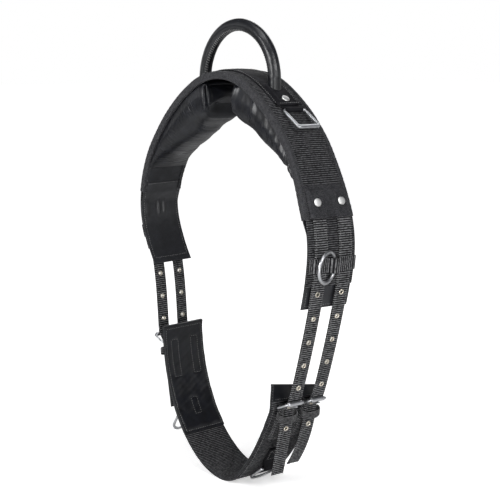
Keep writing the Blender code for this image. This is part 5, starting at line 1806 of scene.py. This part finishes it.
def make_buckle_chape(girth, label, middle, buckle, bar, looks):
    """The webbing folded round a buckle's bar, slotted for the tongue and sewn in a box."""
    half = BUCKLE_CHAPE_WIDTH / 2
    profile = folded_profile(
        BUCKLE_AT, buckle.bar_out, BUCKLE_WIRE, BUCKLE_CHAPE_PLY, BUCKLE_CHAPE_TAIL, -1
    )
    data = plies_data(girth, profile, middle - half, middle + half, 0.0009)
    chape = dress("buckle_chape_" + label, "folded", data, looks["strap"])
    reach = buckle.wrap + TONGUE_WIRE + PLAY
    ends = (-1, 1)
    corners = [
        bar @ Vector((x * reach, y * TONGUE_SLOT_HALF, z * 2 * reach))
        for x in ends for y in ends for z in ends
    ]
    faces = [[0, 1, 3, 2], [4, 6, 7, 5], [0, 4, 5, 1], [2, 3, 7, 6], [0, 2, 6, 4], [1, 5, 7, 3]]
    cut(chape, join_data([(corners, faces)]))
    low, high = BUCKLE_AT + 0.018, BUCKLE_AT + BUCKLE_CHAPE_TAIL - 0.004
    edge = half - BOX_INSET
    threads = seam(girth, stitched_box(low, high, middle - edge, middle + edge), CHAPE_TOP)
    add_threads(f"buckle_stitches_{label}", threads, looks["thread"])


def roller_data(length):
    """A hollow roller along Y, with turned-in rims."""
    end, hole, rim = length / 2, BUCKLE_WIRE + GAP, ROLLER_RADIUS
    turned_in = [(hole, end), (rim - 0.0006, end), (rim - 0.0001, end - 0.0005), (rim, end - 0.0012)]
    profile = [(radius, -y) for radius, y in turned_in]
    profile += [(rim, y) for y in np.linspace(-end + 0.003, end - 0.003, 6)]
    profile += turned_in[::-1]
    points = np.array([[(x, y, z) for x, z in circle(radius, 32)] for radius, y in profile])
    return grid_data(points, points[..., :2], loop=True)


# The girth

def make_girth(girth, looks):
    """The girth's webbing, with a line of stitches along each edge, and its leather ends."""
    half = GIRTH_WIDTH / 2
    inset = GIRTH_WEBBING_INSET
    data = strap_data(
        girth, steps(inset, girth.length - inset, BAND_RIB / 6),
        flat_section(-half, half, WEBBING_THICKNESS, 9, 7),
        -WEBBING_THICKNESS, 0.0, (BAND_RIB, RIB_HEIGHT),
    )
    dress("girth_webbing", "ribbed", data, looks["webbing"])
    threads = []
    for across in (0.004 - half, half - 0.004):
        path = edge_path(0.03, girth.length - 0.03, across)
        threads += seam(girth, path, 0.0, EDGE_PITCH, 0.0032, 0.00035)
    add_threads("girth_stitches", threads, looks["thread"])
    for name, side in SIDES.items():
        make_girth_pad(girth if side > 0 else girth.mirrored(), name, looks)


def girth_pad_profile(top, thick, outer):
    """The outline of the girth's leather end, as (along, out): over the girth's face, round its
    end, along the thick inside to the thin far edge, and back on both faces of the webbing."""
    end, thin_top = GIRTH_PAD_LENGTH, top - GIRTH_PAD_THIN
    back = GIRTH_WEBBING_INSET - GAP
    profile = [(x, outer) for x in np.linspace(GIRTH_PAD_RIM, 0.0015, 12)]
    profile += [(x, outer - sunk) for x, sunk in GIRTH_END_OVER]
    profile += [(x, thick * share) for x, share in GIRTH_END_UNDER]
    for x in np.linspace(0.0, end - 0.002, 110)[1:]:
        thin = smoothstep((x - end + GIRTH_PAD_TAPER) / GIRTH_PAD_TAPER)
        profile.append((x, thick + (thin_top - thick) * thin))
    profile += [(end, top - GIRTH_PAD_THIN * 0.6), (end - 0.0004, top)]
    profile += [(x, top) for x in np.linspace(end - 0.004, back + 0.002, 40)]
    profile += [(back, top), (back, GAP)]
    return np.array(profile + [(x, GAP) for x in np.linspace(0.004, GIRTH_PAD_RIM, 8)])


def padded_out(along, across, out, top, thick):
    """Heights of the girth's leather end once its stuffing, seams and edges are in it."""
    full = rounded((GIRTH_WIDTH / 2 - np.abs(across)) / GIRTH_PAD_EDGE, 0.0)
    middle = (top + thick) / 2
    inner = (out < top - 0.001) & (along > 0)
    swell = uneven(GIRTH_PAD_SWELL, along, across) + uneven(GIRTH_PAD_WRINKLES, along, across)
    swell = (swell - GIRTH_PAD_SWELL[0]) * smoothstep(along / 0.01)
    out = out - np.where(inner, swell - QUILT_DEPTH * quilting(along, across), 0.0)
    squeezed = middle + (out - middle) * (0.35 + 0.65 * full)
    return np.where((out < top) & (along > 0.001), np.minimum(squeezed, top), out)


def make_girth_pad(run, name, looks):
    """The leather end of the girth: padded inside, wrapped over its end and sewn in boxes."""
    half = GIRTH_WIDTH / 2
    top = -WEBBING_THICKNESS - GAP
    thick = top - GIRTH_PAD_THICKNESS
    outer = GAP + GIRTH_RIM_THICKNESS
    profile = girth_pad_profile(top, thick, outer)
    along, out = profile[:, 0][:, None], profile[:, 1][:, None]
    across = (half * np.sin(np.radians(np.linspace(-90, 90, 61))))[None, :]
    out = padded_out(along, across, out, top, thick)
    points = run.place(along + 0 * across, across + 0 * along, out)
    uv = uv_of(lengths_along(profile)[:, None], across)
    data = grid_data(points, uv, ring=False, caps=False, loop=True)
    change_mesh(data, fill_holes)
    piece = dress("girth_pad_" + name, "padded", data, looks["leather"])

    def face(along, across):
        return thick - 0.0002 + QUILT_DEPTH * quilting(along, across)

    threads = []
    for box in quilted_boxes():
        threads += seam(run, stitched_box(*box, crossed=False), face, inside=True)
    rim = GIRTH_PAD_RIM - 0.003
    threads += seam(run, [(rim, -half + 0.003), (rim, half - 0.003)], outer)
    add_threads(f"girth_pad_stitches_{name}", threads, looks["thread"])


def quilting(along, across):
    """1 on the lines that the girth's ends are sewn along, and 0 away from them."""
    sunk = 0.0
    for low, high, left, right in quilted_boxes():
        outside = np.hypot(along - np.clip(along, low, high), across - np.clip(across, left, right))
        inside = np.minimum(
            np.minimum(along - low, high - along), np.minimum(across - left, right - across)
        )
        sunk = np.maximum(sunk, bell(np.where(outside > 0, outside, inside), QUILT_WIDTH))
    return sunk


def quilted_boxes():
    """The edges of each box of stitches inside the girth's end, as low, high, left and right."""
    edge = GIRTH_WIDTH / 2 - QUILT_INSET
    boxes = [(QUILT_INSET, GIRTH_PAD_LENGTH - QUILT_INSET, -edge, edge)]
    for row in ROWS.values():
        middle = billet_middle("left", row)
        boxes.append((*BUCKLE_BOX, middle - BUCKLE_BOX_HALF, middle + BUCKLE_BOX_HALF))
    boxes.append((*CHEST_BOX, -CHEST_BOX_HALF, CHEST_BOX_HALF))
    return boxes


def fill_holes(mesh):
    edges = [edge for edge in mesh.edges if edge.is_boundary]
    bmesh.ops.holes_fill(mesh, edges=edges, sides=0)


# Light, floor and camera

def view_frame(azimuth, elevation):
    """Right, up and back for a camera at these angles."""
    a, e = math.radians(azimuth), math.radians(elevation)
    back = Vector((math.sin(a) * math.cos(e), -math.cos(a) * math.cos(e), math.sin(e)))
    right = Vector((math.cos(a), math.sin(a), 0))
    return right, back.cross(right), back


def place_at(made, spot, right, up, back):
    made.matrix_world = Matrix.Translation(spot) @ Matrix((right, up, back)).transposed().to_4x4()


def add_camera():
    data = bpy.data.cameras.new("camera")
    data.sensor_width = 36
    data.lens = VIEW_LENS
    made = bpy.data.objects.new("camera", data)
    bpy.context.collection.objects.link(made)
    right, up, back = view_frame(VIEW_AZIMUTH, VIEW_ELEVATION)
    place_at(made, Vector(VIEW_TARGET) + back * VIEW_DISTANCE, right, up, back)
    bpy.context.scene.camera = made


def add_lamp(name, azimuth, elevation, distance, size, power):
    """A soft square lamp that looks at the middle of the object."""
    data = bpy.data.lights.new(name, "AREA")
    data.shape = "SQUARE"
    data.size = size
    data.energy = power
    made = bpy.data.objects.new(name, data)
    bpy.context.collection.objects.link(made)
    right, up, back = view_frame(azimuth, elevation)
    place_at(made, Vector((0, 0, -0.35)) + back * distance, right, up, back)


def white_to_camera(tree, dim):
    """1 for what the camera or a reflection sees, and dim for the light on the object."""
    path = add_node(tree, "LightPath").outputs
    seen = calculate(tree, "MAXIMUM", path["Is Camera Ray"], path["Is Glossy Ray"])
    seen = calculate(tree, "MAXIMUM", seen, path["Is Transmission Ray"])
    return remap(tree, seen, 0, 1, dim, 1)


def add_studio():
    """A sky that is white to the camera and fades in reflections, the floor and the lamps."""
    world = bpy.data.worlds.new("studio")
    bpy.context.scene.world = world
    world.use_nodes = True
    tree = world.node_tree
    background = tree.nodes["Background"]
    tree.links.new(white_to_camera(tree, WORLD_LIGHT), background.inputs["Strength"])
    way = add_node(tree, "TexCoord").outputs["Generated"]
    height = add_node(tree, "SeparateXYZ", {"Vector": way}).outputs["Z"]
    unseen = calculate(tree, "SUBTRACT", 1.0, add_node(tree, "LightPath").outputs["Is Camera Ray"])
    shade = calculate(tree, "MULTIPLY", remap(tree, height, *SKY_FADE), unseen)
    tree.links.new(mixed(tree, shade, (1, 1, 1), SKY_COLOUR), background.inputs["Color"])
    add_floor()
    for lamp in LAMPS:
        add_lamp(*lamp)


def add_floor():
    """A pale matt floor that turns pure white to the camera away from the object."""
    made = bpy.data.materials.new("floor")
    made.use_nodes = True
    tree = made.node_tree
    shader = tree.nodes["Principled BSDF"]
    shader.inputs["Base Color"].default_value = (0.93, 0.93, 0.93, 1)
    shader.inputs["Roughness"].default_value = 0.9
    shader.inputs["Specular IOR Level"].default_value = 0.1
    shader.inputs["Emission Color"].default_value = (1, 1, 1, 1)
    spot = add_node(tree, "TexCoord").outputs["Object"]
    away = add_node(tree, "VectorMath", {0: spot}, operation="LENGTH").outputs["Value"]
    glow = remap(tree, away, *FLOOR_FADE, FLOOR_GLOW, 1.0)
    camera_ray = add_node(tree, "LightPath").outputs["Is Camera Ray"]
    tree.links.new(calculate(tree, "MULTIPLY", camera_ray, glow), shader.inputs["Emission Strength"])
    reach, lowest = 30, cad_box[0][2] - 0.0005
    corners = [(x * reach, y * reach, lowest) for x, y in ((-1, -1), (1, -1), (1, 1), (-1, 1))]
    data = bpy.data.meshes.new("floor")
    data.from_pydata(corners, [], [[0, 1, 2, 3]])
    data.materials.append(made)
    floor = bpy.data.objects.new("floor", data)
    bpy.context.collection.objects.link(floor)


def dress_kept_nodes(looks):
    """Gives the solids that are still shown their finish."""
    for name, finish in (("band_core", "foam"), ("handle_core", "core")):
        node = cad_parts[name]
        node.data.materials.clear()
        node.data.materials.append(looks[finish])


def main():
    """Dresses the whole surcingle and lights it."""
    looks = make_looks()
    halves = {
        name: arc_points((0.0, BAND_DEPTH), 0, zip(BAND_SPANS[name], BAND_TURNS[name]))
        for name in SIDES
    }
    outward = [(-x, z) for x, z in halves["left"][:0:-1]]
    band = Run(outward + halves["right"], start=-sum(BAND_SPANS["left"]), crown=BAND_CROWN)
    girth = Run(arc_points(GIRTH_START, GIRTH_START_HEADING, GIRTH_ARCS), skew=GIRTH_END_SKEW)
    buckle = Buckle()
    make_band(band, looks)
    make_handle(band, looks)
    make_girth(girth, looks)
    for name, side in SIDES.items():
        girth_side = girth if side > 0 else girth.mirrored()
        make_pad(band, name, looks)
        make_rein_ring(band, name, looks)
        make_patch(band, name, side, looks)
        make_cross_strap(band, name, side, looks)
        make_billets(band.half(name), girth_side, name, side, buckle, looks)
        make_chest_ring(girth_side, name, looks)
    dress_kept_nodes(looks)
    add_studio()
    add_camera()
    bpy.context.scene.view_settings.view_transform = "Standard"


main()
